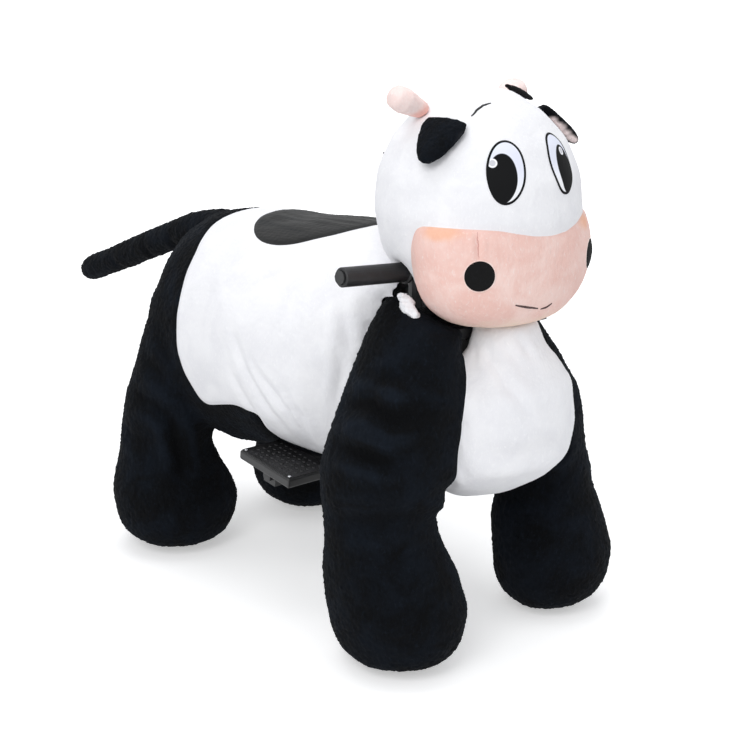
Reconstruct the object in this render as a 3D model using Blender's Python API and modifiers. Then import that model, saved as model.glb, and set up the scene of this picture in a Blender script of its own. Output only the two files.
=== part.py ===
"""Coin-operated plush cow ride: a steel chassis on four wheels hidden in stuffed plush legs.

Metres, +Z up. The cow faces -Y and its left side is +X. While the ride is modelled, Y is measured
from the front wheels' axle line; the empty ride_origin then moves the whole ride along Y, so that
the world's origin lies on the floor under the middle of its length.
"""
import bpy
import bmesh
from math import cos, radians, sin, tan
from mathutils import Matrix, Vector

# Clearances
CLEAR = 0.0003            # between two pieces that touch, and round a pin in its hole
SEAM = 0.0003             # between two sewn plush forms
SWING_GAP = 0.002         # round pieces that pass each other as they turn
DRILL_PAST = 0.010        # how far a drill or a cutter runs past what it cuts

# Running gear
WHEEL_RADIUS = 0.065
WHEEL_WIDTH = 0.036
WHEEL_SIDE_GAP = 0.0006
WHEEL_TREAD = 0.012
WHEEL_WELL_GAP = 0.008
HUB_RADIUS = 0.017
AXLE_RADIUS = 0.006
AXLE_HEAD_RADIUS = 0.011
AXLE_HEAD = 0.005
TRACK_FRONT = 0.360
TRACK_REAR = 0.340
WHEELBASE = 0.650
BLADE_THICK = 0.012
BLADE_WIDTH = 0.040
BLADE_BELOW_AXLE = 0.025
GEARBOX_THICK = 0.030
GEARBOX_LENGTH = 0.090
GEARBOX_BELOW_AXLE = 0.035
GEARBOX_HEIGHT = 0.205
GEARBOX_EDGE = 0.006
MOTOR_RADIUS = 0.025
MOTOR_LENGTH = 0.062
MOTOR_HEIGHT = 0.195
MOTOR_EDGE = 0.004
MOTOR_SHAFT_RADIUS = 0.004
SHAFT_REACH = 0.020

# Steering column
STEER_LIMIT = 25.0        # degrees each way
CROWN_TOP = 0.425
CROWN_THICK = 0.012
CROWN_FRONT = -0.030
CROWN_REAR = 0.065
CROWN_LIP = 0.004         # the crown past the blades
SHOULDER_REAR = 0.140     # how far behind the axle line the plush shoulders pass the spine
COLUMN_HEIGHT = 0.096     # crown to yoke
STEERER_RADIUS = 0.0127
HEAD_TUBE_RADIUS = 0.0225
HEAD_TUBE_BORE = 0.0170
BEARING_FLANGE = 0.003
BEARING_SLEEVE = 0.012
YOKE_THICK = 0.015
YOKE_HALF_WIDTH = 0.115
BAR_RADIUS = 0.011
BAR_Y = 0.046
BAR_RISER_X = 0.100
BAR_RISE = 0.0720
BAR_END_X = 0.252
BAR_END_RISE = 0.011
BAR_BEND = 0.016
GRIP_RADIUS = 0.0152
GRIP_LENGTH = 0.130
GRIP_INSET = 0.003
GRIP_FLANGE = 0.003
GRIP_FLANGE_THICK = 0.004
GRIP_EDGE = 0.002
CLAMP_WIDTH = 0.050
CLAMP_WALL = 0.007
POST_SIZE = 0.030
POST_Y = -0.012
POST_TOP = 0.820
ARM_SIZE = 0.024

# Chassis
SPINE_WIDTH = 0.040
SPINE_HEIGHT = 0.050
SPINE_WALL = 0.003
SPINE_BOTTOM = 0.450
SPINE_BEHIND_AXLE = 0.022
CROSS_SIZE = 0.040
RISER_WIDTH = 0.060
RISER_HEIGHT = 0.0744
BOARD_WIDTH = 0.200
BOARD_FRONT = 0.240
BOARD_LENGTH = 0.280
BOARD_THICK = 0.012
RISER_FRONT = BOARD_FRONT + 0.030
RISER_LENGTH = BOARD_LENGTH - 0.050
TRAY_HALF_WIDTH = 0.085
TRAY_WALL = 0.004
TRAY_HEIGHT = 0.1414
TRAY_FRONT = 0.240
TRAY_LENGTH = 0.200
BATTERY_WIDTH = 0.151
BATTERY_LENGTH = 0.170
BATTERY_HEIGHT = 0.098
BATTERY_EDGE = 0.004
CONTROLLER_WIDTH = 0.080
CONTROLLER_LENGTH = 0.070
CONTROLLER_HEIGHT = 0.042
CONTROLLER_FRONT = 0.470
SEAT_HALF_WIDTH = 0.118
SEAT_FRONT = 0.250
SEAT_REAR = 0.532

# Foot plates
PEDAL_BAR_RADIUS = 0.0095
PEDAL_BAR_Y = 0.300
PEDAL_BAR_Z = 0.236
PEDAL_BAR_HALF = 0.205
PEDAL_LENGTH = 0.137
PEDAL_FRONT = 0.216
PEDAL_WIDTH = 0.092
PEDAL_THICK = 0.016
PEDAL_OUTER_X = 0.224
PEDAL_EDGE = 0.003
PEDAL_TILT = 7.0          # degrees, nose down
PEDAL_TRAVEL = 8.0        # degrees that the accelerator is pressed
PEDAL_LUG_WIDTH = 0.030
PEDAL_LUG_X = 0.183
PEDAL_LUG_WALL = 0.006
DROP_POST_SIZE = 0.036

# Control box in the back of the head
BOX_HALF_WIDTH = 0.065
BOX_FRONT = 0.070
BOX_DEPTH = 0.095
BOX_BOTTOM = 0.665
BOX_HEIGHT = 0.120
BOX_WALL = 0.003
DOOR_THICK = 0.004
DOOR_INSET = 0.008
HINGE_RADIUS = 0.0035
HINGE_PIN_RADIUS = 0.0016
HINGE_X = 0.0635
HINGE_EAR_THICK = 0.006
HINGE_EAR_WEB = 0.003
HINGE_PIN_INSET = 0.001
SLOT_FACE_X = 0.029
SLOT_FACE_WIDTH = 0.046
SLOT_FACE_HEIGHT = 0.094
SLOT_FACE_THICK = 0.006
SLOT_BODY_WIDTH = 0.036
SLOT_BODY_HEIGHT = 0.080
SLOT_BODY_DEPTH = 0.044
COIN_SLOT_WIDTH = 0.005
COIN_SLOT_HEIGHT = 0.030
COIN_SLOT_DEPTH = 0.014
COIN_SLOT_X = 0.038
COIN_SLOT_RISE = 0.024
CUP_WIDTH = 0.028
CUP_HEIGHT = 0.024
CUP_DEPTH = 0.028
CUP_DROP = 0.024
FLAP_THICK = 0.0015
FLAP_INSET = 0.004        # its axis behind the front of the slot's face
FLAP_END_GAP = 0.001
FLAP_ROD_RADIUS = 0.0015
BUTTON_TRAVEL = 0.003
BUTTON_PROUD = 0.007
BUTTON_RIM = 0.0025
BUTTON_RIM_THICK = 0.002
BUTTON_EDGE = 0.002
BUTTON_SPARE = 0.001      # depth left under a button that is pressed home
RETURN_BUTTON_RADIUS = 0.006
RETURN_BUTTON_PROUD = 0.005
RETURN_BUTTON_X = 0.018
START_BUTTON_RADIUS = 0.014
START_BUTTON_X = -0.030
START_BUTTON_RISE = 0.026
MUSIC_BUTTON_RADIUS = 0.008
MUSIC_BUTTON_RISE = -0.006
LOCK_RADIUS = 0.008
LOCK_X = -0.044
LOCK_RISE = -0.036
LOCK_DEPTH = 0.012
LOCK_FLANGE = 0.002
LOCK_FLANGE_THICK = 0.003
LOCK_CAM_LENGTH = 0.016
LOCK_CAM_WIDTH = 0.008
LOCK_CAM_THICK = 0.004
LOCK_CAM_GAP = 0.0006
CATCH_REACH = 0.005
CATCH_THICK = 0.004
CATCH_HEIGHT = 0.016
CATCH_INSET = 0.001

# Plush forms. Each station is (height or place along Y, centre, centre, half size, half size).
FOOT_CLEARANCE = 0.012
MUZZLE_FRONT = -0.150
TAIL_END = 1.222
PAST_BODY = 0.5           # how far the largest cutters reach, past every side of the body
TORSO_FRONT = 0.215
GUSSET_FRONT = 0.108
GUSSET_THICK = 0.018
EYE_WIDTH = 0.054
EYE_HEIGHT = 0.093
EYE_MIDDLE = -0.015       # the eyes are sewn on a little to the cow's right
EYE_X = 0.0495            # from that middle
EYE_Z = 0.791
EYE_THICK = 0.0016
EYE_LEAN = 6.0            # degrees, both tops towards the cow's left
EAR_PLACE = (0.128, -0.028, 0.831)
EAR_FACING = (0.66, -0.20, 0.72)
EAR_HANG = {"right": (0.90, -0.20, -0.64), "left": (0.52, -0.55, -0.65)}
EAR_HALF_WIDTH = 0.039
EAR_HALF_HEIGHT = 0.043
EAR_HALF_THICK = 0.011
HORN_PLACE = (0.088, 0.044, 0.864)
HORN_FACING = {"right": (-0.83, 0.12, 0.42), "left": (0.76, 0.50, 0.24)}
SIDES = {"right": -1, "left": 1}

# The left front leg is slimmer, and its shoulder lies closer to the chest and ends lower.
FRONT_LEGS = {
    "right": [
        (FOOT_CLEARANCE, 0.177, -0.001, 0.062, 0.072),
        (0.030, 0.176, -0.002, 0.088, 0.100),
        (0.060, 0.176, -0.002, 0.100, 0.115),
        (0.105, 0.178, -0.002, 0.106, 0.121),
        (0.155, 0.185, 0.005, 0.101, 0.110),
        (0.210, 0.195, 0.013, 0.088, 0.092),
        (0.252, 0.199, 0.018, 0.083, 0.087),
        (0.285, 0.190, 0.015, 0.097, 0.099),
        (0.330, 0.184, 0.014, 0.104, 0.106),
        (0.390, 0.170, 0.006, 0.100, 0.101),
        (0.450, 0.156, 0.004, 0.092, 0.096),
        (0.510, 0.145, 0.006, 0.071, 0.082),
        (0.540, 0.134, 0.006, 0.070, 0.076),
        (0.558, 0.142, 0.018, 0.047, 0.052),
        (0.575, 0.150, 0.034, 0.022, 0.028),
        (0.592, 0.150, 0.042, 0.0, 0.0),
    ],
    "left": [
        (FOOT_CLEARANCE, 0.174, 0.001, 0.061, 0.056),
        (0.030, 0.173, 0.000, 0.087, 0.081),
        (0.060, 0.173, 0.000, 0.099, 0.096),
        (0.105, 0.175, 0.000, 0.105, 0.101),
        (0.155, 0.177, 0.013, 0.098, 0.097),
        (0.210, 0.183, 0.027, 0.080, 0.086),
        (0.252, 0.178, 0.033, 0.079, 0.084),
        (0.285, 0.158, 0.038, 0.088, 0.091),
        (0.330, 0.148, 0.038, 0.093, 0.096),
        (0.390, 0.140, 0.037, 0.090, 0.089),
        (0.450, 0.117, 0.051, 0.079, 0.086),
        (0.510, 0.100, 0.058, 0.058, 0.066),
        (0.550, 0.098, 0.064, 0.030, 0.036),
        (0.562, 0.098, 0.066, 0.0, 0.0),
    ],
}
REAR_LEG = [
    (FOOT_CLEARANCE, 0.160, 0.646, 0.064, 0.064),
    (0.030, 0.160, 0.646, 0.096, 0.096),
    (0.060, 0.160, 0.646, 0.111, 0.111),
    (0.100, 0.160, 0.646, 0.116, 0.116),
    (0.145, 0.166, 0.653, 0.103, 0.101),
    (0.195, 0.171, 0.657, 0.085, 0.082),
    (0.240, 0.168, 0.650, 0.086, 0.085),
    (0.300, 0.158, 0.639, 0.090, 0.092),
    (0.360, 0.143, 0.618, 0.094, 0.099),
    (0.420, 0.132, 0.616, 0.084, 0.090),
    (0.480, 0.121, 0.618, 0.074, 0.084),
    (0.530, 0.112, 0.616, 0.0, 0.0),
]
TORSO = [
    (0.090, 0.0, 0.4100, 0.120, 0.1400),
    (0.160, 0.0, 0.4310, 0.175, 0.1930),
    (0.220, 0.0, 0.4350, 0.205, 0.2130),
    (0.300, 0.0, 0.4320, 0.218, 0.2170),
    (0.420, 0.0, 0.4265, 0.222, 0.2115),
    (0.540, 0.0, 0.4125, 0.220, 0.2175),
    (0.640, 0.0, 0.4175, 0.204, 0.2005),
    (0.705, 0.0, 0.4300, 0.152, 0.1680),
    (0.748, 0.0, 0.4400, 0.098, 0.1060),
    (0.770, 0.0, 0.4480, 0.0, 0.0),
]
# The bib swells over the crown of the steering column and runs back under it.
CHEST = [
    (0.230, 0.0, 0.024, 0.0, 0.0),
    (0.244, 0.0, 0.014, 0.045, 0.030),
    (0.264, 0.0, -0.006, 0.080, 0.056),
    (0.290, 0.0, -0.030, 0.108, 0.077),
    (0.322, 0.0, -0.050, 0.126, 0.088),
    (0.375, 0.0, -0.057, 0.131, 0.090),
    (0.440, 0.0, -0.054, 0.122, 0.090),
    (0.475, 0.0, -0.049, 0.095, 0.079),
    (0.510, 0.0, -0.044, 0.066, 0.067),
    (0.565, 0.0, -0.036, 0.050, 0.056),
]
HEAD = [
    (0.570, 0.0, 0.014, 0.080, 0.082),
    (0.600, 0.0, 0.014, 0.119, 0.122),
    (0.650, 0.0, 0.014, 0.149, 0.152),
    (0.712, 0.0, 0.014, 0.161, 0.164),
    (0.770, 0.0, 0.014, 0.155, 0.159),
    (0.820, 0.0, 0.015, 0.132, 0.136),
    (0.860, 0.0, 0.016, 0.096, 0.100),
    (0.888, 0.0, 0.017, 0.054, 0.057),
    (0.900, 0.0, 0.018, 0.0, 0.0),
]
MUZZLE = [
    (0.541, 0.0, -0.045, 0.0, 0.0),
    (0.548, -0.006, -0.046, 0.082, 0.060),
    (0.569, -0.007, -0.048, 0.125, 0.084),
    (0.603, -0.005, -0.048, 0.152, 0.098),
    (0.645, -0.002, -0.046, 0.164, -0.046 - MUZZLE_FRONT),
    (0.685, -0.003, -0.044, 0.162, 0.102),
    (0.706, -0.003, -0.040, 0.156, 0.097),
]
TAIL = [
    (0.690, 0.0, 0.582, 0.026, 0.026),
    (0.740, 0.0, 0.572, 0.028, 0.028),
    (0.800, 0.0, 0.557, 0.031, 0.031),
    (0.900, 0.0, 0.519, 0.0300, 0.0300),
    (1.000, 0.0, 0.479, 0.0290, 0.0290),
    (1.100, 0.0, 0.441, 0.0290, 0.0290),
    (1.180, 0.0, 0.412, 0.0275, 0.0275),
    (1.208, 0.0, 0.404, 0.018, 0.018),
    (TAIL_END, 0.0, 0.400, 0.0, 0.0),
]
# The seam round the white body panel, (Y, Z) along the side: belly, rump, then over the back.
# Its first and last points stand for its open front, which a cutter runs out past the body.
PANEL_SEAM = [
    (0.0, 0.200), (0.284, 0.281), (0.318, 0.286), (0.338, 0.301), (0.341, 0.333),
    (0.404, 0.334), (0.506, 0.306), (0.516, 0.338), (0.530, 0.368), (0.542, 0.405),
    (0.545, 0.445), (0.557, 0.508), (0.578, 0.565), (0.614, 0.603), (0.665, 0.760),
    (0.0, 0.760)]
HORN = [
    (0.0, 0.0, 0.0, 0.015, 0.013),
    (0.020, 0.0, 0.0, 0.021, 0.017),
    (0.042, 0.0, 0.0, 0.026, 0.021),
    (0.060, 0.0, 0.0, 0.021, 0.018),
    (0.068, 0.0, 0.0, 0.0, 0.0),
]
# An ear from its tip to its top, as shares of its half height, half width and half thickness.
EAR_OUTLINE = [
    (-1.0, 0.0, 0.0),
    (-0.92, 0.30, 0.55),
    (-0.55, 0.62, 0.95),
    (0.0, 0.86, 1.0),
    (0.55, 1.0, 0.95),
    (0.9, 0.92, 0.7),
    (1.0, 0.0, 0.0),
]

# Derived places
WHEEL_X = {"front": TRACK_FRONT / 2, "rear": TRACK_REAR / 2}
BLADE_TO_WHEEL = BLADE_THICK / 2 + WHEEL_SIDE_GAP + WHEEL_WIDTH / 2
BLADE_BOTTOM = WHEEL_RADIUS - BLADE_BELOW_AXLE
CROWN_REACH = TRACK_FRONT / 2 - BLADE_TO_WHEEL + BLADE_THICK / 2 + CROWN_LIP
CROSS_REACH = TRACK_REAR / 2 - BLADE_TO_WHEEL + BLADE_THICK
GEARBOX_BOTTOM = WHEEL_RADIUS - GEARBOX_BELOW_AXLE
GEARBOX_FACE = -(TRACK_REAR / 2 - BLADE_TO_WHEEL - BLADE_THICK / 2 - CLEAR)
SPINE_TOP = SPINE_BOTTOM + SPINE_HEIGHT
SPINE_END = WHEELBASE + SPINE_BEHIND_AXLE
YOKE_BOTTOM = CROWN_TOP + COLUMN_HEIGHT
YOKE_TOP = YOKE_BOTTOM + YOKE_THICK
BAR_Z = YOKE_TOP + 2 * CLEAR + BAR_RADIUS
GRIP_Z = BAR_Z + BAR_RISE
BAR_INNER_END = Vector((BAR_RISER_X + BAR_BEND, BAR_Y, GRIP_Z))
BAR_OUTER_END = Vector((BAR_END_X, BAR_Y, GRIP_Z + BAR_END_RISE))
BOARD_BOTTOM = SPINE_TOP + CLEAR + RISER_HEIGHT + CLEAR
BOARD_TOP = BOARD_BOTTOM + BOARD_THICK
TRAY_TOP = SPINE_BOTTOM - CLEAR
TRAY_BOTTOM = TRAY_TOP - TRAY_HEIGHT
BOX_REAR = BOX_FRONT + BOX_DEPTH
BOX_MIDDLE = BOX_BOTTOM + BOX_HEIGHT / 2
DOOR_REAR = BOX_REAR + CLEAR
DOOR_FACE = DOOR_REAR + DOOR_THICK
HINGE_Y = DOOR_FACE
SLOT_FACE_REAR = DOOR_FACE + CLEAR + SLOT_FACE_THICK
PEDAL_PIVOT = Vector((0.0, PEDAL_BAR_Y, PEDAL_BAR_Z))
PEDAL_UNDERSIDE = PEDAL_BAR_RADIUS + PEDAL_LUG_WALL
CLAMP_RADIUS = BAR_RADIUS + CLAMP_WALL
LENGTH_MIDDLE = (MUZZLE_FRONT + TAIL_END) / 2

for old in list(bpy.data.objects):
    bpy.data.objects.remove(old)


def new_collection(name):
    made = bpy.data.collections.new(name)
    bpy.context.scene.collection.children.link(made)
    return made


PARTS = new_collection("plush_cow_ride")
CUTTERS = new_collection("cutters")


def new_pivot(name, place, parent=None):
    """An empty on a joint's axis: what it carries turns or slides with it."""
    pivot = bpy.data.objects.new(name, None)
    pivot.empty_display_size = 0.03
    PARTS.objects.link(pivot)
    if parent:
        pivot.parent = parent
        pivot.location = Vector(place) - reference[parent.name]
    else:
        pivot.location = place
    reference[name] = Vector(place)
    return pivot


reference = {}
ride = new_pivot("ride_origin", (0, 0, 0))


def new_material(name, colour, roughness, metallic=0.0):
    made = bpy.data.materials.new(name)
    made.use_nodes = True
    shader = made.node_tree.nodes["Principled BSDF"]
    shader.inputs["Base Color"].default_value = (*colour, 1.0)
    shader.inputs["Roughness"].default_value = roughness
    shader.inputs["Metallic"].default_value = metallic
    return made


MATERIALS = {
    "black_plush": ((0.012, 0.013, 0.018), 0.95, 0.0),
    "white_plush": ((0.80, 0.79, 0.80), 0.95, 0.0),
    "pink_plush": ((0.80, 0.50, 0.43), 0.95, 0.0),
    "cream_plush": ((0.86, 0.70, 0.66), 0.95, 0.0),
    "seat_fabric": ((0.030, 0.032, 0.034), 0.55, 0.0),
    "eye_felt": ((0.70, 0.72, 0.86), 0.80, 0.0),
    "black_paint": ((0.020, 0.020, 0.022), 0.40, 0.0),
    "zinc_steel": ((0.60, 0.61, 0.62), 0.35, 1.0),
    "chrome": ((0.75, 0.75, 0.76), 0.15, 1.0),
    "rubber": ((0.020, 0.020, 0.020), 0.80, 0.0),
    "plywood": ((0.50, 0.34, 0.19), 0.70, 0.0),
    "black_plastic": ((0.025, 0.025, 0.027), 0.50, 0.0),
    "red_plastic": ((0.60, 0.03, 0.03), 0.30, 0.0),
    "yellow_plastic": ((0.75, 0.50, 0.03), 0.30, 0.0),
}


def finish_part(obj, finish, pivot):
    """Gives a piece its own material and hangs it on the pivot of its body."""
    obj.data.materials.append(new_material(f"{obj.name}_{finish}", *MATERIALS[finish]))
    obj.parent = pivot
    obj.matrix_parent_inverse = Matrix.Translation(-reference[pivot.name])
    return obj


def as_cutter(obj):
    obj.parent = ride
    obj.hide_render = True
    obj.display_type = "WIRE"
    for shelf in list(obj.users_collection):
        shelf.objects.unlink(obj)
    CUTTERS.objects.link(obj)
    return obj


def mesh_object(name, bm, smooth=False):
    mesh = bpy.data.meshes.new(name)
    bm.to_mesh(mesh)
    bm.free()
    if smooth:
        mesh.shade_smooth()
        mesh.set_sharp_from_angle(angle=radians(35))
    obj = bpy.data.objects.new(name, mesh)
    PARTS.objects.link(obj)
    return obj


def box(name, low, high):
    """A block between two corners, with its origin in its middle."""
    low, high = Vector(low), Vector(high)
    bm = bmesh.new()
    bmesh.ops.create_cube(bm, size=1.0)
    bmesh.ops.scale(bm, vec=high - low, verts=bm.verts)
    obj = mesh_object(name, bm)
    obj.location = (low + high) / 2
    return obj


def rod(name, radius, start, end, segments=24):
    """A round bar from start to end."""
    start, end = Vector(start), Vector(end)
    span = end - start
    bm = bmesh.new()
    bmesh.ops.create_cone(
        bm, cap_ends=True, segments=segments, radius1=radius, radius2=radius, depth=span.length)
    obj = mesh_object(name, bm, smooth=True)
    obj.rotation_mode = "QUATERNION"
    obj.rotation_quaternion = span.to_track_quat("Z", "Y")
    obj.location = (start + end) / 2
    return obj


def turned(name, profile, place, direction=(0, 0, 1), closed=True, steps=24):
    """A profile of (radius, height) turned about an axis that points along direction.

    The profile runs down its outer side. A closed one leaves a bore, an open one starts and
    ends on the axis.
    """
    mesh = bpy.data.meshes.new(name)
    points = [(radius, 0, height) for radius, height in profile]
    edges = [(i, i + 1) for i in range(len(points) - 1)]
    if closed:
        edges.append((len(points) - 1, 0))
    mesh.from_pydata(points, edges, [])
    obj = bpy.data.objects.new(name, mesh)
    PARTS.objects.link(obj)
    screw = obj.modifiers.new("turn", "SCREW")
    screw.axis = "Z"
    screw.angle = radians(360)
    screw.steps = steps
    screw.render_steps = steps
    screw.use_merge_vertices = True
    screw.merge_threshold = 0.00001
    screw.use_normal_calculate = False
    obj.rotation_mode = "QUATERNION"
    obj.rotation_quaternion = Vector(direction).to_track_quat("Z", "Y")
    obj.location = place
    return obj


def extrusion(name, outlines, thickness, place, turn):
    """Flat closed outlines, the later ones holes in the first, with half the thickness each way."""
    curve = bpy.data.curves.new(name, "CURVE")
    curve.dimensions = "2D"
    curve.fill_mode = "BOTH"
    curve.extrude = thickness / 2
    for outline in outlines:
        spline = curve.splines.new("POLY")
        spline.points.add(len(outline) - 1)
        for point, (x, y) in zip(spline.points, outline):
            point.co = (x, y, 0, 1)
        spline.use_cyclic_u = True
    obj = bpy.data.objects.new(name, curve)
    PARTS.objects.link(obj)
    obj.matrix_world = Matrix.Translation(place) @ turn
    return obj


def tube_along(name, points, radius, resolution=3):
    """A round bar bent along a list of points, with closed ends."""
    curve = bpy.data.curves.new(name, "CURVE")
    curve.dimensions = "3D"
    curve.bevel_depth = radius
    curve.bevel_resolution = resolution
    curve.use_fill_caps = True
    curve.resolution_u = 1
    spline = curve.splines.new("POLY")
    spline.points.add(len(points) - 1)
    for point, place in zip(spline.points, points):
        point.co = (*place, 1)
    obj = bpy.data.objects.new(name, curve)
    PARTS.objects.link(obj)
    return obj


def to_mesh(obj):
    """Turns a curve into a mesh with welded caps, which can be cut or joined."""
    bpy.context.view_layer.update()
    graph = bpy.context.evaluated_depsgraph_get()
    mesh = bpy.data.meshes.new_from_object(obj.evaluated_get(graph))
    bm = bmesh.new()
    bm.from_mesh(mesh)
    bmesh.ops.remove_doubles(bm, verts=bm.verts, dist=0.00001)
    bm.to_mesh(mesh)
    bm.free()
    name = obj.name
    place = obj.matrix_world.copy()
    bpy.data.objects.remove(obj)
    made = bpy.data.objects.new(name, mesh)
    PARTS.objects.link(made)
    made.matrix_world = place
    return made


def combine(obj, other, operation):
    """Adds an exact Boolean of obj with other, which becomes a cutter."""
    as_cutter(other)
    step = obj.modifiers.new(other.name, "BOOLEAN")
    step.operation = operation
    step.solver = "EXACT"
    step.object = other
    return obj


def cut(obj, *others):
    for other in others:
        combine(obj, other, "DIFFERENCE")
    return obj


def join(obj, *others):
    for other in others:
        combine(obj, other, "UNION")
    return obj


def keep_inside(obj, other):
    return combine(obj, other, "INTERSECT")


def soften(obj, width, segments=2):
    bevel = obj.modifiers.new("edges", "BEVEL")
    bevel.width = width
    bevel.segments = segments
    bevel.limit_method = "ANGLE"
    return obj


def smooth_stations(stations, steps):
    """Points between the stations along a Catmull-Rom curve, so that the form swells evenly."""
    rows = [Vector(row) for row in stations]
    made = []
    for i in range(len(rows) - 1):
        before = rows[max(i - 1, 0)]
        start, end = rows[i], rows[i + 1]
        after = rows[min(i + 2, len(rows) - 1)]
        for step in range(steps):
            t = step / steps
            made.append(0.5 * (
                2 * start + (end - before) * t
                + (2 * before - 5 * start + 4 * end - after) * t ** 2
                + (3 * start - before - 3 * end + after) * t ** 3))
    made.append(rows[-1])
    return made


def swell(name, stations, along="Z", segments=20, steps=1, side=1, grow=0.0, stretch=0.0):
    """A stuffed form: a sphere whose rings are moved to the stations along Z or Y.

    grow widens every ring, and stretch moves the two ends outwards. Along Z, side mirrors the
    form to the cow's right with -1.
    """
    rows = [Vector(row).copy() for row in stations]
    if steps > 1:
        rows = smooth_stations(rows, steps)
    first, last = rows[0], rows[-1]
    rings = [row for row in rows if row[3] > 0]
    bm = bmesh.new()
    bmesh.ops.create_uvsphere(bm, u_segments=segments, v_segments=len(rings) + 1, radius=1.0)
    ordered = sorted(bm.verts, key=lambda vert: vert.co.z)
    groups = [ordered[:1]]
    for i in range(len(rings)):
        groups.append(ordered[1 + i * segments:1 + (i + 1) * segments])
    groups.append(ordered[-1:])
    rows = [first] + rings + [last]
    for index, (row, group) in enumerate(zip(rows, groups)):
        place, centre_a, centre_b, half_a, half_b = row
        if index <= 1:
            place -= stretch
        if index >= len(rows) - 2:
            place += stretch
        for vert in group:
            flat = Vector((vert.co.x, vert.co.y))
            if index in (0, len(rows) - 1):
                flat = Vector((0, 0))
            else:
                flat.normalize()
            a = centre_a + flat.x * (half_a + grow)
            b = centre_b + flat.y * (half_b + grow)
            vert.co = (a * side, b, place) if along == "Z" else (a, place, b)
    if (along == "Y") != (side < 0):
        bmesh.ops.reverse_faces(bm, faces=bm.faces)
    bmesh.ops.triangulate(bm, faces=bm.faces)
    return mesh_object(name, bm, smooth=True)


def grown_copy(obj, gap, name):
    """A cutter in the evaluated shape of obj, moved out along its normals by the gap."""
    bpy.context.view_layer.update()
    graph = bpy.context.evaluated_depsgraph_get()
    mesh = bpy.data.meshes.new_from_object(obj.evaluated_get(graph))
    bm = bmesh.new()
    bm.from_mesh(mesh)
    bmesh.ops.transform(bm, matrix=obj.matrix_world, verts=bm.verts)
    bm.normal_update()
    places = [vert.co + vert.normal * gap for vert in bm.verts]
    for vert, place in zip(bm.verts, places):
        vert.co = place
    return mesh_object(name, bm)


def build_wheels(pivots):
    """Four wheels, each on a headed axle bolt that runs through its steel blade."""
    width, tread = WHEEL_WIDTH / 2, WHEEL_TREAD / 2
    edge = WHEEL_RADIUS - tread
    rim = WHEEL_RADIUS - WHEEL_TREAD
    web = WHEEL_WIDTH / 4
    bore = AXLE_RADIUS + CLEAR
    profile = [
        (bore, width), (HUB_RADIUS, width), (HUB_RADIUS, web), (rim, web), (rim, width),
        (edge, width), (WHEEL_RADIUS, width - tread), (WHEEL_RADIUS, tread - width),
        (edge, -width), (rim, -width), (rim, -web), (HUB_RADIUS, -web), (HUB_RADIUS, -width),
        (bore, -width)]
    for end in ("front", "rear"):
        for side, sign in SIDES.items():
            name = f"{end}_wheel_{side}"
            pivot = pivots[name]
            centre = reference[pivot.name]
            finish_part(turned(name, profile, centre, (1, 0, 0)), "rubber", pivot)
            driven = name == "rear_wheel_right"
            inner = BLADE_THICK + (SHAFT_REACH if driven else 0.0)
            head = WHEEL_WIDTH + WHEEL_SIDE_GAP * 2
            bolt = [
                (0.0, head + AXLE_HEAD), (AXLE_HEAD_RADIUS, head + AXLE_HEAD),
                (AXLE_HEAD_RADIUS, head), (AXLE_RADIUS, head), (AXLE_RADIUS, -inner), (0.0, -inner)]
            seat = centre + Vector((sign * (BLADE_THICK / 2 - BLADE_TO_WHEEL), 0, 0))
            carrier = pivot if driven else (steering if end == "front" else ride)
            finish_part(
                turned(f"{end}_axle_{side}", bolt, seat, (sign, 0, 0), closed=False, steps=20),
                "zinc_steel", carrier)


def blade(name, end, sign, top):
    """A flat steel blade beside a wheel, drilled for its axle."""
    x = sign * (WHEEL_X[end] - BLADE_TO_WHEEL)
    y = WHEELBASE if end == "rear" else 0.0
    plate = box(name, (x - BLADE_THICK / 2, y - BLADE_WIDTH / 2, BLADE_BOTTOM),
                (x + BLADE_THICK / 2, y + BLADE_WIDTH / 2, top))
    drill = rod(f"{name}_drill", AXLE_RADIUS + CLEAR, (x - BLADE_THICK, y, WHEEL_RADIUS),
                (x + BLADE_THICK, y, WHEEL_RADIUS))
    return cut(plate, drill)


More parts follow.
